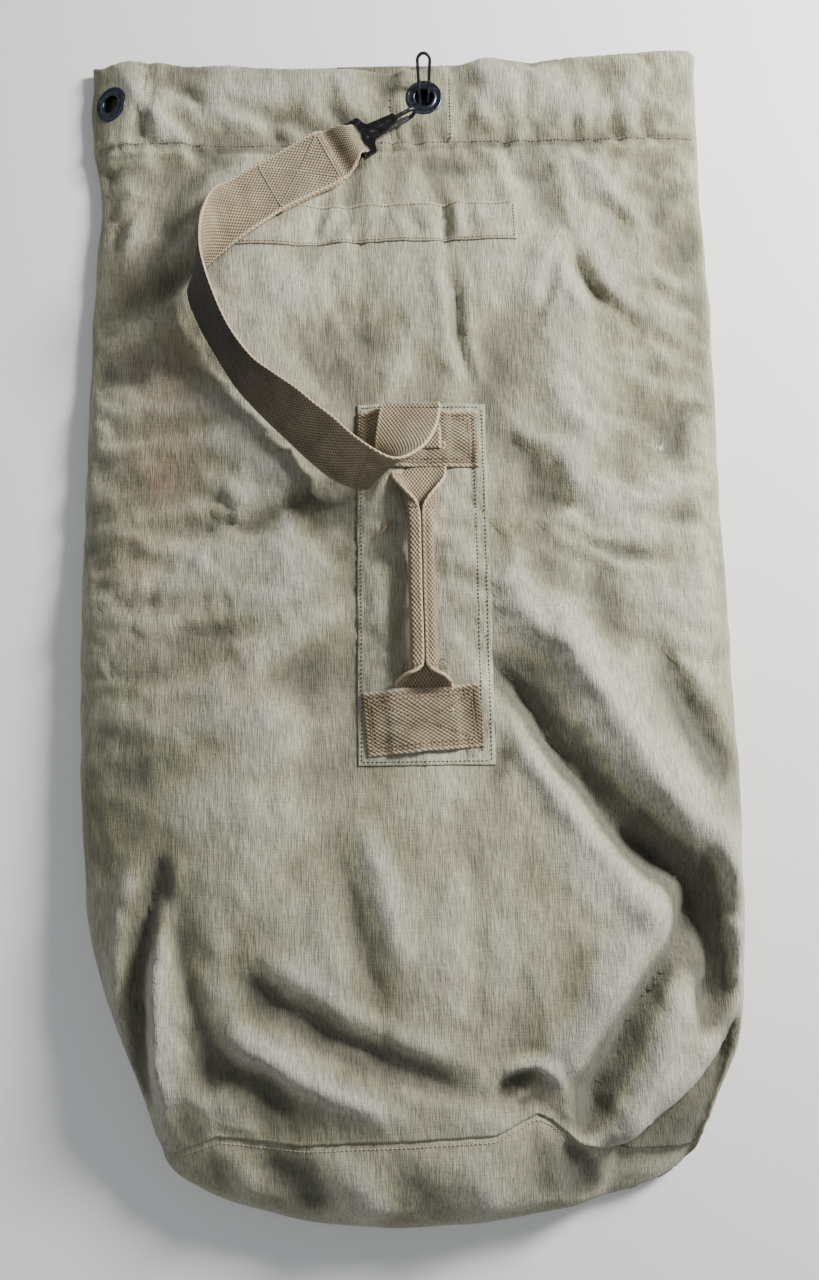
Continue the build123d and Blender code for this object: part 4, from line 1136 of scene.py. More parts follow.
def base_rings():
    """The base's outer face as closed rings, from the seam to the tip line, and the front's relief."""
    seam = tube[-1] - tube_normals[-1] * 1.0 + np.array((0, 1.4, 0))
    share = np.linspace(0, 1, BASE_COLUMNS)
    table = np.array(TIP_LINE)
    tip = blur(np.stack([np.interp(share, table[:, 0], table[:, k]) for k in (1, 2)], 1), 2.0)
    front, back = base_half(seam, tip, True), base_half(seam, tip, False)
    x, y = front[..., 0], front[..., 1]
    from_seam = np.linspace(0, 1, BASE_RINGS + 1)[:, None]
    side_fade = smooth_step(0.5 - np.abs(share - 0.5), 0.0, 0.05)[None, :]
    relief, free = base_relief(x, y, from_seam, side_fade)
    front[..., 2] += relief
    front[..., 2] -= 6.0 * smooth_step(x, 118, 140) * side_fade * free
    for half in (front, back):
        half[..., 2] = np.maximum(half[..., 2], LOWEST)
    front = blur(front, 0.7, 1)
    back[-1] = front[-1]
    back[:, 0] = front[:, 0]
    back[:, -1] = front[:, -1]
    return np.concatenate([front, back[:, -2:0:-1]], axis=1), relief


def base_cloth():
    """Round base: a crescent over the front, the rest under the bag."""
    ring, relief_front = base_rings()
    inner = ring - grid_normals(ring, wrap=True) * CANVAS
    inner[-1] = ring[-1] + np.array((0, CANVAS, 0))
    rows, columns = ring.shape[:2]
    count = rows * columns
    points = np.concatenate([ring.reshape(-1, 3), inner.reshape(-1, 3)])
    faces = grid_faces(rows, columns, True) + grid_faces(rows, columns, True, count, True)
    for j in range(columns):
        k = (j + 1) % columns
        faces.append((j, j + count, k + count, k))
    piece = mesh_object("base_disc_cloth", points, faces, [CANVAS_OUT])
    relief = np.zeros((rows, columns))
    relief[:, :BASE_COLUMNS] = relief_front
    front_mask = np.tile((np.arange(columns) < BASE_COLUMNS).astype(float), (rows, 1))
    # painted highlight and painted shade from the crescent's folds, with stains and flecks
    paint_wear_and_light(piece.data, ring[..., 0], ring[..., 1], relief, front_mask)
    merge = bmesh.new()
    merge.from_mesh(piece.data)
    bmesh.ops.remove_doubles(merge, verts=merge.verts, dist=0.00002)
    merge.to_mesh(piece.data)
    merge.free()
    piece.data.shade_smooth()
    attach(piece, "bag")
    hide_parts("base_disc")
    return piece


# ---------------------------------------------------------------- pieces sewn onto the front
def surface_tree(*objects):
    """Ray-casting tree over pieces in place."""
    points, faces = [], []
    for piece in objects:
        first = len(points)
        points += [vertex.co.copy() for vertex in piece.data.vertices]
        faces += [tuple(first + index for index in face.vertices) for face in piece.data.polygons]
    return BVHTree.FromPolygons(points, faces)


def drop_onto(tree, x, y):
    """Point and smooth normal on the cloth below (x, y), in millimetres."""
    hit, normal, _, _ = tree.ray_cast(Vector((x * MM, y * MM, 0.3)), Vector((0, 0, -1)))
    if hit is None:
        return np.array((x, y, 20.0)), np.array((0.0, 0.0, 1.0))
    normal = np.array(normal)
    return np.array(hit) / MM, normal if normal[2] > 0 else -normal


def draped(tree, xs, ys):
    """Grid of points and blurred normals on the cloth below a grid."""
    ground = np.zeros(xs.shape + (3,))
    normals = np.zeros(xs.shape + (3,))
    for index in np.ndindex(xs.shape):
        ground[index], normals[index] = drop_onto(tree, xs[index], ys[index])
    return ground, unit(blur_both(normals, 1.5), 2)


def turned(centre, turn, u, v):
    """A rectangle's own coordinates turned and moved onto the bag."""
    return centre[0] + u * cos(turn) - v * sin(turn), centre[1] + u * sin(turn) + v * cos(turn)


def patch_grid(centre, width, height, turn, spacing, frayed, seed):
    """Own and turned coordinates of a rectangle's grid, closer together at its edges."""
    def places(length):
        count = max(4, int(round(length / spacing)))
        middle = np.linspace(-length / 2 + 2.0, length / 2 - 2.0, count)
        return np.concatenate([[-length / 2, -length / 2 + 0.5], middle, [length / 2 - 0.5, length / 2]])
    u, v = np.meshgrid(places(width), places(height))
    loose_u = u + frayed * field(u, v, 26, seed, 2)
    loose_v = v + frayed * field(v, u, 26, seed + 3, 2)
    return u, v, *turned(centre, turn, loose_u, loose_v)


def sewn_piece(name, tree, centre, width, height, turn, low, thick, material, node, inset, seed,
               spacing=3.2, puff=0.5, lift=None, frayed=0.5):
    """Cloth or webbing sewn flat onto the bag, with a rounded edge and a sunken row of stitches."""
    u, v, x, y = patch_grid(centre, width, height, turn, spacing, frayed, seed)
    ground, normals = draped(tree, x, y)
    edge = np.minimum(width / 2 - np.abs(u), height / 2 - np.abs(v))
    rise = thick * (0.55 + 0.45 * smooth_step(edge, 0, 1.2))
    rise = rise + puff * np.exp(-((edge - inset * 0.35) / 1.6) ** 2)
    rise = rise - 0.55 * np.exp(-((edge - inset) / 1.1) ** 2)
    ripple = np.sin(2 * pi * (u + v) / 13.0 + 2 * field(u, v, 22, seed + 5, 1))
    rise = rise + 0.25 * ripple * np.exp(-((edge - inset) / 3.0) ** 2)
    is_canvas = material is CANVAS_PATCH
    if is_canvas:
        rise = rise + 0.9 * sharp_creases(v, u, 30, seed + 8, 0.6, 0.25) * smooth_step(edge, 1, 8)
    base = np.full(u.shape, low)
    if lift is not None:
        base = base + lift(u)
    top = ground + normals * (base + rise)[..., None]
    bottom = ground + normals * base[..., None]
    piece = sheet_solid(name, top, bottom, material, uv=np.stack([u, v], -1).reshape(-1, 2))
    if is_canvas:
        # painted highlight and painted shade from the patch's raised edges and creases, with stains and
        # flecks
        paint_wear_and_light(piece.data, x, y, 4.0 * rise, np.ones(x.shape))
    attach(piece, "bag")
    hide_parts(node)
    return piece


# ---------------------------------------------------------------- stitches
STITCH_SIDES = 6
STITCH_RINGS = (                      # place along the stitch, width and height above the cloth, in radii
    (-0.5, 0.25, -0.35), (-0.3, 0.9, 0.1), (0.0, 1.0, 0.3), (0.3, 0.9, 0.1), (0.5, 0.25, -0.35),
)
STITCH_CLEAR = 0.15


def ring_sides(faces, first, rings, sides):
    """Faces of a closed tube made of rings of points: its wall and its two ends."""
    for ring in range(rings - 1):
        for s in range(sides):
            a = first + ring * sides + s
            b = first + ring * sides + (s + 1) % sides
            faces.append((a, b, b + sides, a + sides))
    faces.append(tuple(first + s for s in reversed(range(sides))))
    faces.append(tuple(first + (rings - 1) * sides + s for s in range(sides)))


def stitch_run(path, normals, pitch, length, radius, points, faces):
    """Add one row of raised stitches along a path on the cloth."""
    run = run_of(path)

    def at(place, values):
        return np.array([np.interp(place, run, values[:, k]) for k in range(3)])

    for k in range(int(run[-1] / pitch)):
        middle = (k + 0.5) * pitch
        start, end = (at(middle + offset, path) for offset in (-length / 2, length / 2))
        size = np.linalg.norm(end - start)
        if size < 1e-6:
            continue
        normal = unit(at(middle, normals), 0)
        along = (end - start) / size
        across = np.cross(normal, along)
        first = len(points)
        for place, wide, rise in STITCH_RINGS:
            for s in range(STITCH_SIDES):
                angle = 2 * pi * s / STITCH_SIDES
                points.append(
                    (start + end) / 2 + along * place * size + across * cos(angle) * radius * wide
                    + normal * (sin(angle) * radius * wide + rise * radius + STITCH_CLEAR)
                )
        ring_sides(faces, first, len(STITCH_RINGS), STITCH_SIDES)


STITCH_STEP = 1.2                     # the cloth is felt for at this step along a row


def stitch_piece(name, tree, lines, pitch, length, radius, material):
    """Rows of stitches dropped onto the cloth along lines of (x, y)."""
    points, faces = [], []
    for line in lines:
        line = np.asarray(line, float)
        run = run_of(line)
        places = np.linspace(0, run[-1], max(2, int(run[-1] / STITCH_STEP)))
        xs, ys = np.interp(places, run, line[:, 0]), np.interp(places, run, line[:, 1])
        grounds, normals = zip(*[drop_onto(tree, a, b) for a, b in zip(xs, ys)])
        stitch_run(np.array(grounds), np.array(normals), pitch, length, radius, points, faces)
    piece = mesh_object(name, points, faces, [material])
    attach(piece, "bag")


def rectangle_lines(centre, width, height, turn, inset, sides="lrtb"):
    """Lines of a turned rectangle, inset from its edges: its wanted sides, or x for its two diagonals."""
    w, h = width / 2 - inset, height / 2 - inset
    ends = {
        "l": (((-w, -h), (-w, h)),), "r": (((w, -h), (w, h)),), "t": (((-w, h), (w, h)),),
        "b": (((-w, -h), (w, -h)),), "x": (((-w, -h), (w, h)), ((-w, h), (w, -h))),
    }
    return [[turned(centre, turn, u, v) for u, v in line] for side in sides for line in ends[side]]


# ---------------------------------------------------------------- webbing ribbons
def ribbon_grid(low_edge, high_edge, steps, across_steps, thick):
    """Closed cross-sections of webbing along two edge lines: grid of points and of (along, across)."""
    low, high = spline(low_edge, steps), spline(high_edge, steps)
    middle = (low + high) / 2
    width = np.linalg.norm(high - low, axis=1, keepdims=True)
    across = (high - low) / width
    normal = unit(blur(unit(np.cross(np.gradient(middle, axis=0), across)), 1.5))
    places = np.concatenate([[-1, -0.97], np.linspace(-0.91, 0.91, across_steps - 4), [0.97, 1]])
    profile = []
    for side, row in ((1, places), (-1, places[::-1])):
        profile += [(s, side * (1.0 if abs(s) < 0.99 else 0.45)) for s in row]
    grid = np.zeros((steps, len(profile), 3))
    uv = np.zeros((steps, len(profile), 2))
    uv[..., 0] = run_of(middle)[:, None]
    for k, (s, side) in enumerate(profile):
        selvedge = 0.35 * np.exp(-((abs(s) - 0.95) / 0.05) ** 2)
        grid[:, k] = middle + across * (width / 2) * s + normal * (side * thick / 2 * (1 + selvedge))
        uv[:, k, 1] = s * WEB_WIDTH / 2
    return grid, uv


def closed_ribbon(name, grid, uv, reverse=None):
    """Solid webbing from closed cross-sections. reverse is the column where its face with painted shade
    begins.
    """
    rows, columns = grid.shape[:2]
    faces = grid_faces(rows, columns, wrap=True, flip=True)
    half = columns // 2
    for base, flip in ((0, False), ((rows - 1) * columns, True)):
        for j in range(half - 1):
            face = (base + j, base + j + 1, base + columns - 2 - j, base + columns - 1 - j)
            faces.append(face[::-1] if flip else face)
    materials = [WEB_TAN] if reverse is None else [WEB_TAN, WEB_REVERSE_SHADED]
    piece = mesh_object(name, grid.reshape(-1, 3), faces, materials, uv.reshape(-1, 2))
    if reverse is not None:
        for index in range((rows - 1) * columns):
            if reverse <= index % columns < reverse + half - 1:
                piece.data.polygons[index].material_index = 1
    return piece


STRAP_RULINGS = (
    ((-18, 151, 51), (32, 150, 51)),
    ((-20, 138, 53), (29, 134, 61)),
    ((-22, 118, 55), (20, 113, 80)),
    ((-20, 100, 55), (5, 99, 93)),
    ((-25, 86, 54), (-8, 96, 98)),
    ((-39, 84, 55), (-23, 104, 98)),
    ((-59, 94, 53), (-39, 118, 92)),
    ((-78, 111, 50), (-53, 133, 87)),
    ((-95, 128, 48), (-68, 146, 84)),
    ((-112, 145, 45), (-83, 160, 81)),
    ((-134, 171, 42), (-101, 174, 78)),
    ((-150, 198, 38), (-119, 189, 76)),
    ((-167, 230, 34), (-138, 217, 72)),
    ((-177, 257, 31), (-152, 250, 72)),
    ((-174, 274, 31), (-160, 279, 76)),
    ((-165, 284, 32), (-161, 304, 74)),
    ((-152, 294, 33), (-160, 328, 61)),
    ((-137, 305, 33), (-156, 350, 45)),
    ((-118, 319, 33), (-142, 365, 34)),
    ((-99, 334, 31), (-122, 379, 30)),
    ((-73, 350, 29), (-96, 396, 27)),
    ((-46, 366, 27), (-69, 412, 26)),
    ((-31, 388, 26.3), (-44, 412, 26.3)),
)
ROOT_RULING = 5                       # the sewn root ends here and the free strap begins
BOX_RULING = 19                       # the folded-back end begins here
PINCH_RULING = 21                     # and the webbing begins to pinch here
RULING_STEPS = 9
STRAP_CLEAR = 4.6                     # from the cloth to the middle of the strap


STRAP_COLUMNS = 15


def raised(tree, edge, steps):
    """Edge line of the strap lifted clear of the cloth below it."""
    line = spline(edge, steps)
    clear = np.array([drop_onto(tree, x, y)[0][2] + STRAP_CLEAR for x, y, _ in line])
    line[:, 2] += blur(np.maximum(clear - line[:, 2], 0), 3.0)
    return line


def strap_pieces(tree):
    """Shoulder strap: the root that twists off the anchor, the free length, and the sewn loop."""
    steps = (len(STRAP_RULINGS) - 1) * RULING_STEPS + 1
    low_edge, high_edge = (raised(tree, [ends[k] for ends in STRAP_RULINGS], steps) for k in (0, 1))
    grid, uv = ribbon_grid(low_edge, high_edge, steps, STRAP_COLUMNS, WEB)
    cut, box, last = (ruling * RULING_STEPS for ruling in (ROOT_RULING, BOX_RULING, PINCH_RULING))
    half = grid.shape[1] // 2
    middle = grid[:, half // 2]
    under = grid[:, half + half // 2]
    first_is_top = middle[box, 2] > under[box, 2]
    reverse = half if first_is_top else 0
    root = closed_ribbon("strap_root_webbing", grid[:cut + 1], uv[:cut + 1], reverse)
    free = closed_ribbon("shoulder_strap_webbing", grid[cut:last + 1], uv[cut:last + 1], reverse)
    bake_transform(root)

    # the folded-back end lies under the strap, and between them the webbing pinches round the hook's bar
    normal = unit(middle - under)
    normal *= np.sign(normal[:, 2:3])
    below = normal * (WEB + PLY_GAP)
    fold = grid[box:last + 1] - below[box:last + 1, None]
    fold_piece = closed_ribbon("strap_folded_end", fold, uv[box:last + 1])
    loop = loop_piece(low_edge[last], high_edge[last], below[last])
    for piece in (free, fold_piece, loop):
        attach(piece, "strap")
    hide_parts("shoulder_strap")
    top = grid[:, :half] if first_is_top else grid[:, half:][:, ::-1]
    box_stitches(top[box:last + 1])


UP = np.array((0.0, 0.0, 1.0))
HOOK_BAR = np.array((-34.5, 401.5, 26.3))
HOOK_NOSE = np.array((18.5, 430.0, 31.6))
BAR_WIDTH = 28.4                      # webbing pinched together on the bar
PINCH_WAY = (                         # the loop's middle line: ahead of the bar, above it, and its width
    (-26.2, 0.4, 51.0), (-22.0, -1.8, 49.5), (-17.0, -1.2, 45.5), (-11.0, 2.6, 39.5), (-5.8, 4.8, 35.0),
    (-2.2, 4.7, BAR_WIDTH), (2.5, 2.4, BAR_WIDTH), (3.5, -0.2, BAR_WIDTH), (2.2, -2.6, BAR_WIDTH),
    (-1.0, -3.5, BAR_WIDTH), (-6.0, -3.6, 32.0), (-14.0, -3.2, 41.0), (-20.0, -2.9, 47.0),
    (-26.2, -2.2, 51.0),
)


LOOP_STEPS = 90
LOOP_COLUMNS = 13
LOOP_THICK = WEB * 0.96


def loop_piece(low_end, high_end, below):
    """Pinched end of the strap: from the last row of stitching over the hook's bar and back under it."""
    heading = atan2(HOOK_NOSE[1] - HOOK_BAR[1], HOOK_NOSE[0] - HOOK_BAR[0])
    ahead = np.array((cos(heading), sin(heading), 0.0))
    aside = np.array((-sin(heading), cos(heading), 0.0))
    way = spline(PINCH_WAY, LOOP_STEPS)
    middle = HOOK_BAR + way[:, :1] * ahead + way[:, 1:2] * UP
    half_width = way[:, 2:3] / 2 * aside
    edges = [middle - half_width, middle + half_width]
    start_share = (1 - smooth_step(way[:, 0], PINCH_WAY[0][0], -12.0))[:, None]
    upper = np.arange(LOOP_STEPS)[:, None] < LOOP_STEPS // 2
    for edge, end in zip(edges, (low_end, high_end)):
        edge += start_share * np.where(upper, end - edge[0], end - below - edge[-1])
    grid, uv = ribbon_grid(*edges, LOOP_STEPS, LOOP_COLUMNS, LOOP_THICK)
    return closed_ribbon("strap_end_loop", grid, uv)


BOX_STEPS = 40
BOX_LOW, BOX_HIGH = 0.16, 0.84        # share across the webbing
BOX_NEAR, BOX_FAR = 0.03, 0.97        # share along the folded-back end
BOX_LINES = (
    ((BOX_NEAR, BOX_LOW), (BOX_FAR, BOX_LOW)), ((BOX_NEAR, BOX_HIGH), (BOX_FAR, BOX_HIGH)),
    ((BOX_NEAR, BOX_LOW), (BOX_NEAR, BOX_HIGH)), ((BOX_FAR, BOX_LOW), (BOX_FAR, BOX_HIGH)),
    ((BOX_NEAR, BOX_LOW), (BOX_FAR, BOX_HIGH)), ((BOX_NEAR, BOX_HIGH), (BOX_FAR, BOX_LOW)),
)


def between(top, a, b):
    """Point at a share along and across a grid."""
    rows, half = top.shape[:2]
    i, j = a * (rows - 1), b * (half - 1)
    i0, j0 = min(int(i), rows - 2), min(int(j), half - 2)
    fi, fj = i - i0, j - j0
    return ((top[i0, j0] * (1 - fi) + top[i0 + 1, j0] * fi) * (1 - fj)
            + (top[i0, j0 + 1] * (1 - fi) + top[i0 + 1, j0 + 1] * fi) * fj)


def box_stitches(top):
    """Box and cross of stitching through the strap's folded-back end."""
    points, faces = [], []
    for (a0, b0), (a1, b1) in BOX_LINES:
        shares = [(a0 + (a1 - a0) * t, b0 + (b1 - b0) * t) for t in np.linspace(0, 1, BOX_STEPS)]
        path = np.array([between(top, a, b) for a, b in shares])
        other = np.array([between(top, min(1, a + 0.02), b) for a, b in shares])
        side = np.array([between(top, a, min(1, b + 0.05)) for a, b in shares])
        normals = np.cross(other - path, side - path)
        normals *= np.sign(normals[:, 2:3] + 1e-9)
        lengths = np.linalg.norm(normals, axis=1, keepdims=True)
        normals = np.where(lengths > 1e-9, normals / np.maximum(lengths, 1e-9), UP)
        stitch_run(path, normals, 2.9, 2.7, 0.62, points, faces)
    piece = mesh_object("strap_box_stitching", points, faces, [THREAD_PALE])
    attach(piece, "strap")


# ---------------------------------------------------------------- anchors and the strap's sewn tail
PANEL_CENTRE = (15.0, 10.0)
PANEL_SIZE = (106.0, 298.0)
PANEL_TURN = radians(-0.5)
STRIP_CENTRE = (-23.0, 325.0)
STRIP_SIZE = (250.0, 38.0)
UPPER_CENTRE = (13.0, 127.0)
UPPER_SIZE = (98.0, 50.0)
LOWER_CENTRE = (12.3, -104.0)
LOWER_SIZE = (91.0, 50.0)
LOWER_TURN = radians(4.0)
HANDLE_X = 12.5
PANEL_PLY = 1.2                       # canvas of the panel and the strip
PANEL_TOP = PLY_GAP + PANEL_PLY
def over_tail(middle, half_width):
    """Lift of an anchor where another layer of webbing lies under it."""
    return lambda u: WEB * (1 - smooth_step(np.abs(u - middle), half_width, half_width + 7.0))


def anchors(tree):
    """The two cross pieces of webbing that hold the handle and the strap."""
    low = PANEL_TOP + PLY_GAP
    pieces = []
    for name, centre, size, turn, seed, tail, frayed in (
        ("upper_anchor", UPPER_CENTRE, UPPER_SIZE, 0.0, 4.0, (-4.0, 27.0), 0.4),
        ("lower_anchor", LOWER_CENTRE, LOWER_SIZE, LOWER_TURN, 5.0, (0.0, 24.0), 0.5),
    ):
        pieces.append(sewn_piece(
            name + "_webbing", tree, centre, *size, turn, low, WEB, WEB_OLIVE, name, ANCHOR_INSETS[0], seed,
            spacing=2.4, puff=0.35, lift=over_tail(*tail), frayed=frayed,
        ))
    return pieces


TAIL_X = 6.5
TAIL_STATIONS = (118.0, 130.0, 142.0, 151.0)
TAIL_TURN = (-60, -30, 0, 30, 60)     # degrees round the anchor's top edge
TAIL_SIDES = (-18.0, 32.0)
STRAP_START_Z = 51.0
TAIL_STEPS = 50


def strap_tail(tree):
    """Webbing sewn under the upper anchor, turned over its top edge to start the strap."""
    layer = PANEL_TOP + PLY_GAP + WEB / 2
    way = [(y, drop_onto(tree, TAIL_X, y)[0][2] + layer) for y in TAIL_STATIONS]
    end_y, end_z = way[-1]
    radius = (STRAP_START_Z - end_z) / 2
    for angle in TAIL_TURN:
        turn_z = (STRAP_START_Z + end_z) / 2
        way.append((end_y + 0.5 + radius * cos(radians(angle)), turn_z + radius * sin(radians(angle))))
    way.append((end_y, STRAP_START_Z))
    way = spline(way, TAIL_STEPS)
    left, right = ([(x, y, z) for y, z in way] for x in TAIL_SIDES)
    grid, uv = ribbon_grid(left, right, TAIL_STEPS, STRAP_COLUMNS, WEB)
    piece = closed_ribbon("strap_tail_webbing", grid, uv)
    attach(piece, "bag")
    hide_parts("strap_tail")


# ---------------------------------------------------------------- carry handle
GRIP_WEB = 46.0                       # width of the handle's webbing
HALF_SAMPLES = 25                     # points from the middle of the webbing to its edge
GRIP_FOLD_R = 3.7
LEFT_FLAT = 5.2
RIGHT_FLAT = 6.6


def folded_half(fold, flat):
    """From the middle of the webbing to one edge, which is folded up and over by a share of half a turn."""
    half = GRIP_WEB / 2
    flat = flat + (half - flat) * (1 - min(1.0, fold * 3.0)) * 0.5
    turn_length = pi * GRIP_FOLD_R
    line = []
    for s in np.linspace(0, half, HALF_SAMPLES):
        if s <= flat or fold < 1e-3:
            line.append((s, 0.0))
            continue
        angle = fold * pi * min(1.0, (s - flat) / turn_length)
        radius = turn_length / (fold * pi)
        over = max(0.0, s - flat - turn_length)
        rise = radius * (1 - cos(angle)) + over * sin(angle)
        line.append((flat + radius * sin(angle) + over * cos(angle), rise))
    return line


def folded_section(fold):
    """Middle line of webbing with both edges folded."""
    left = [(-a, b) for a, b in folded_half(fold, LEFT_FLAT)]
    return np.array(left[:0:-1] + folded_half(fold, RIGHT_FLAT))


HANDLE_STATIONS = (                   # y, height above the panel and share of the fold
    (-112.0, 1.2, 0.0), (-84.0, 1.2, 0.0), (-76.0, 2.4, 0.10), (-70.0, 6.5, 0.42), (-65.5, 10.5, 0.85),
    (-60.0, 12.6, 1.0), (-30.0, 13.4, 1.0), (0.0, 13.8, 1.0), (30.0, 13.2, 1.0), (58.0, 12.4, 1.0),
    (66.0, 11.2, 0.92), (76.0, 8.0, 0.62), (88.0, 4.4, 0.30), (99.0, 1.8, 0.10), (106.0, 1.2, 0.0),
    (124.0, 1.2, 0.0),
)
HANDLE_STEP = 2.2
HINGE_LOW_Y = -63.0
HINGE_HIGH_Y = 62.0


def handle_places():
    """Places along the handle, its hinges among them."""
    places = []
    for (y0, *_), (y1, *_) in zip(HANDLE_STATIONS[:-1], HANDLE_STATIONS[1:]):
        count = max(2, int(ceil((y1 - y0) / HANDLE_STEP)))
        places += list(np.linspace(y0, y1, count, endpoint=False))
    places.append(HANDLE_STATIONS[-1][0])
    return np.array(sorted(set(places) | {HINGE_LOW_Y, HINGE_HIGH_Y}))


def handle_grid(tree, places):
    """Closed cross-sections of the handle's webbing, with their places along and across it."""
    table = np.array(HANDLE_STATIONS)
    ground = blur(np.array([drop_onto(tree, HANDLE_X, y)[0][2] for y in places]), 4)
    rise = blur(PANEL_TOP + np.interp(places, table[:, 0], table[:, 1]), 1.6)
    fold = np.clip(blur(np.interp(places, table[:, 0], table[:, 2]), 1.2), 0, 1)
    columns = 2 * HALF_SAMPLES - 1
    spread = np.linspace(-1, 1, columns)
    middle = np.zeros((len(places), columns, 3))
    middle[..., 1] = places[:, None]
    for i, (y, share) in enumerate(zip(places, fold)):
        section = folded_section(float(share))
        waver = 0.5 * noise.noise(Vector((y / 23, 4.4, 0)))
        middle[i, :, 0] = HANDLE_X + section[:, 0] + waver
        middle[i, :, 2] = ground[i] + rise[i] + section[:, 1]
    normals = grid_normals(middle)
    normals *= -1 if normals[0, HALF_SAMPLES, 2] < 0 else 1
    thin = 1 - 0.25 * (np.abs(spread) > 0.97)
    bead = 1 + 0.42 * np.exp(-((np.abs(spread) - 0.95) / 0.045) ** 2)
    half = (WEB * 0.46 * thin * bead)[None, :, None]
    grid = np.concatenate([middle + normals * half, (middle - normals * half)[:, ::-1]], axis=1)
    uv = np.zeros(grid.shape[:2] + (2,))
    uv[..., 0] = places[:, None]
    uv[..., 1] = np.concatenate([spread, spread[::-1]]) * WEB_WIDTH / 2
    return grid, uv


def handle_pieces(tree):
    """Carry handle: one length of webbing, flat under each anchor and folded into the grip between them."""
    places = handle_places()
    grid, uv = handle_grid(tree, places)
    low, high = (int(np.argmin(np.abs(places - hinge))) for hinge in (HINGE_LOW_Y, HINGE_HIGH_Y))
    lower = closed_ribbon("handle_neck_lower", grid[:low + 1], uv[:low + 1])
    grip = closed_ribbon("handle_grip_webbing", grid[low:high + 1], uv[low:high + 1])
    upper = closed_ribbon("handle_neck_upper", grid[high:], uv[high:])
    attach(grip, "handle")
    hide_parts("handle_grip")
    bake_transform(lower)
    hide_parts("handle_tab_lower")
    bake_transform(upper)
    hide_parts("handle_tab_upper")


# ---------------------------------------------------------------- sewing
PATCH_ROW_X = (-3.5, 48.5, -219.0)    # rows down the sides of the grommets' patches
STRIP_INSET = 2.4
PANEL_INSETS = (3.0, 10.0)
ANCHOR_INSETS = (4.0, 7.2)
CROSS_INSET = 8.5


def sewing(cloth_tree, tree):
    """Visible rows of stitching: hem, patches, strip, panel, anchors and the base seam."""
    panel_shape = (PANEL_CENTRE, *PANEL_SIZE, PANEL_TURN)
    lower_shape = (LOWER_CENTRE, *LOWER_SIZE, LOWER_TURN)
    hem = [[(-262, HEM_Y + 1.0), (264, HEM_Y + 1.0)]]
    hem += [[(x, HEM_Y + 2), (x, RIM_Y - 14)] for x in PATCH_ROW_X]
    strip = rectangle_lines(STRIP_CENTRE, *STRIP_SIZE, 0.0, STRIP_INSET)
    panel = rectangle_lines(*panel_shape, PANEL_INSETS[0])
    panel += rectangle_lines(*panel_shape, PANEL_INSETS[1], "r")
    anchor = []
    for inset in ANCHOR_INSETS:
        anchor += rectangle_lines(*lower_shape, inset)
        anchor += rectangle_lines(UPPER_CENTRE, *UPPER_SIZE, 0.0, inset, "rbt")
    anchor += rectangle_lines(*lower_shape, CROSS_INSET, "x")
    seam = [(x, y - 4.5) for x, y in SEAM_LINE if -190 < x < 150]
    for name, ground, lines, pitch, length, radius, thread in (
        ("hem", cloth_tree, hem, 3.3, 2.5, 0.42, THREAD_CANVAS),
        ("name_strip", tree, strip, 3.2, 2.4, 0.40, THREAD_RUST),
        ("panel", tree, panel, 3.4, 2.3, 0.45, THREAD_DARK),
        ("anchors", tree, anchor, 3.0, 2.2, 0.45, THREAD_RUST),
        ("base", cloth_tree, [seam], 3.3, 2.9, 0.42, THREAD_PALE),
    ):
        stitch_piece("stitching_" + name, ground, lines, pitch, length, radius, thread)


TUFT_STEPS = 12
TUFT_SIDES = 8
TUFT_RADIUS = 0.42
TUFTS = (                             # ways of the frayed ends
    ((-10, 58), (-16, 54), (-13, 49)), ((-9, 56), (-15, 50), (-18, 45)), ((-8, 55), (-11, 48), (-9, 44)),
    ((15, 66), (19, 63), (20, 59)), ((25, -58), (30, -61), (31, -65)), ((26, -57), (31, -57), (34, -61)),
    ((47, -125), (50, -130), (48, -135)), ((48, -124), (53, -127), (55, -131)),
)


def tufts(tree):
    """Frayed thread ends at the handle's sewing."""
    points, faces = [], []
    for index, line in enumerate(TUFTS):
        rise = 3.0 + 1.2 * np.sin(np.linspace(0, pi, TUFT_STEPS)) + index * 0.2
        path = []
        for (x, y), lift in zip(spline(line, TUFT_STEPS), rise):
            ground, normal = drop_onto(tree, x, y)
            path.append(ground + normal * lift)
        tube_along(np.array(path), points, faces)
    piece = mesh_object("thread_ends", points, faces, [THREAD_TAN])
    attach(piece, "bag")


def tube_along(path, points, faces):
    """Closed round thread along a path of points, thinner at its two ends."""
    rows = len(path)
    tangent = unit(np.gradient(path, axis=0))
    radii = np.full(rows, TUFT_RADIUS)
    radii[[0, -1]] *= 0.5
    first = len(points)
    side = np.cross(tangent[0], UP if abs(tangent[0, 2]) < 0.9 else np.array((1.0, 0.0, 0.0)))
    for i in range(rows):
        side = unit(side - tangent[i] * (side @ tangent[i]), 0)
        up = np.cross(tangent[i], side)
        for k in range(TUFT_SIDES):
            angle = 2 * pi * k / TUFT_SIDES
            points.append(path[i] + radii[i] * (side * cos(angle) + up * sin(angle)))
    ring_sides(faces, first, rows, TUFT_SIDES)


# ---------------------------------------------------------------- hardware
FLANGE_PROFILE = (                    # radius and height of a spun grommet's flange, from the bore outwards
    (8.0, -4.6), (8.0, -0.6), (8.15, 0.5), (8.7, 1.05), (9.6, 1.2), (10.4, 1.0), (11.0, 0.62), (12.2, 0.55),
    (13.6, 0.72), (14.6, 0.98), (15.3, 0.9), (15.85, 0.5), (16.0, 0.05), (15.4, 0.0), (9.3, 0.0),
    (9.0, -0.3), (9.0, -4.6),
)


SPUN_SIDES = 64
ROUNDED_POINTS = 13                   # of the flange's profile: the rest is straight


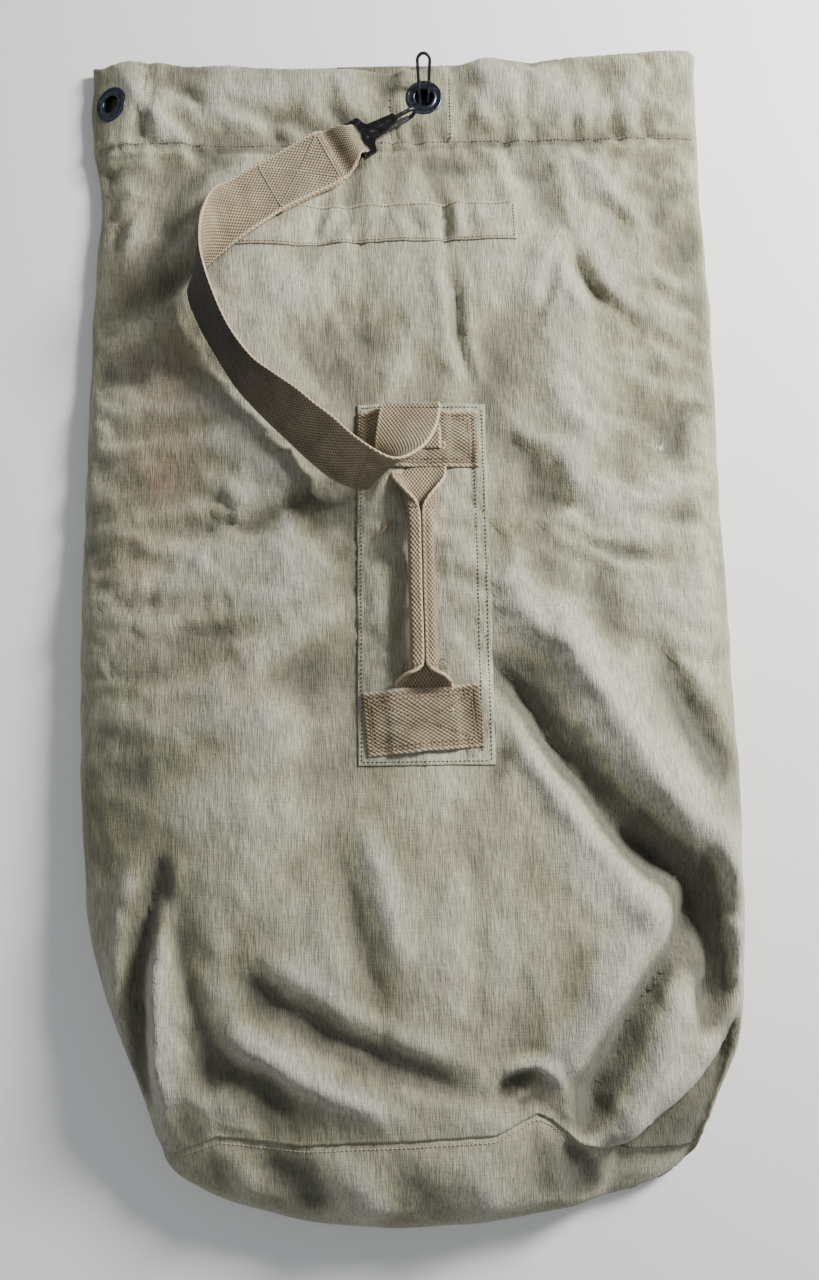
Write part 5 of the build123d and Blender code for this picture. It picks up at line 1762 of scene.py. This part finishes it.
def spun(name, profile, centre, outward):
    """Closed ring turned about an axis from a profile of (radius, height)."""
    side = unit(np.cross(outward, np.array((0.0, 1.0, 0.0))), 0)
    other = np.cross(outward, side)
    rows = len(profile)
    points = []
    for radius, height in profile:
        for k in range(SPUN_SIDES):
            angle = 2 * pi * k / SPUN_SIDES
            points.append(centre + outward * height + radius * (side * cos(angle) + other * sin(angle)))
    faces = grid_faces(rows, SPUN_SIDES, wrap=True)
    last = (rows - 1) * SPUN_SIDES
    faces += [(last + k, last + (k + 1) % SPUN_SIDES, (k + 1) % SPUN_SIDES, k) for k in range(SPUN_SIDES)]
    return mesh_object(name, points, faces, [GROMMET_BLACK])


def grommets():
    """Spun grommets with a rolled collar and rim; the washers keep their own shape."""
    rounded = spline(FLANGE_PROFILE[:ROUNDED_POINTS], 40)
    profile = [*rounded, *FLANGE_PROFILE[ROUNDED_POINTS:]]
    for place in GROMMET_PLACES:
        piece = spun("grommet_ring_" + place, profile, SEATS[place], FLANGE_OUT[place])
        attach(piece, "bag")
        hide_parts("grommet_" + place)


FINISH = {
    "snap_hook": HOOK_BLACK, "lock_staple": HOOK_BLACK, "staple_keeper": HOOK_BLACK,
    "snap_gate": STEEL, "gate_rivet": STEEL, "gate_spring": STEEL,
    **{"washer_" + place: GROMMET_BLACK for place in GROMMET_PLACES},
}


def carried_materials():
    """Finish of the CAD pieces that stay."""
    for node, material in FINISH.items():
        for slot in bpy.data.objects[node].material_slots:
            slot.material = material


def main():
    """Build every piece."""
    add_camera()
    add_lights()
    add_floor()
    tube_piece = canvas_tube()
    hem_and_patches()
    base_piece = base_cloth()
    cloth_tree = surface_tree(tube_piece, base_piece)
    panel = sewn_piece(
        "handle_panel_cloth", cloth_tree, PANEL_CENTRE, *PANEL_SIZE, PANEL_TURN, PLY_GAP, PANEL_PLY,
        CANVAS_PATCH, "handle_panel", PANEL_INSETS[0], seed=2.0,
    )
    strip = sewn_piece(
        "name_strip_cloth", cloth_tree, STRIP_CENTRE, *STRIP_SIZE, 0.0, PLY_GAP, PANEL_PLY, CANVAS_PATCH,
        "name_strip", STRIP_INSET, seed=3.0,
    )
    anchor_pieces = anchors(cloth_tree)
    strap_tail(cloth_tree)
    strap_pieces(surface_tree(tube_piece, panel, strip))
    handle_pieces(cloth_tree)
    sewing(cloth_tree, surface_tree(tube_piece, base_piece, panel, strip, *anchor_pieces))
    tufts(cloth_tree)
    grommets()
    carried_materials()


main()
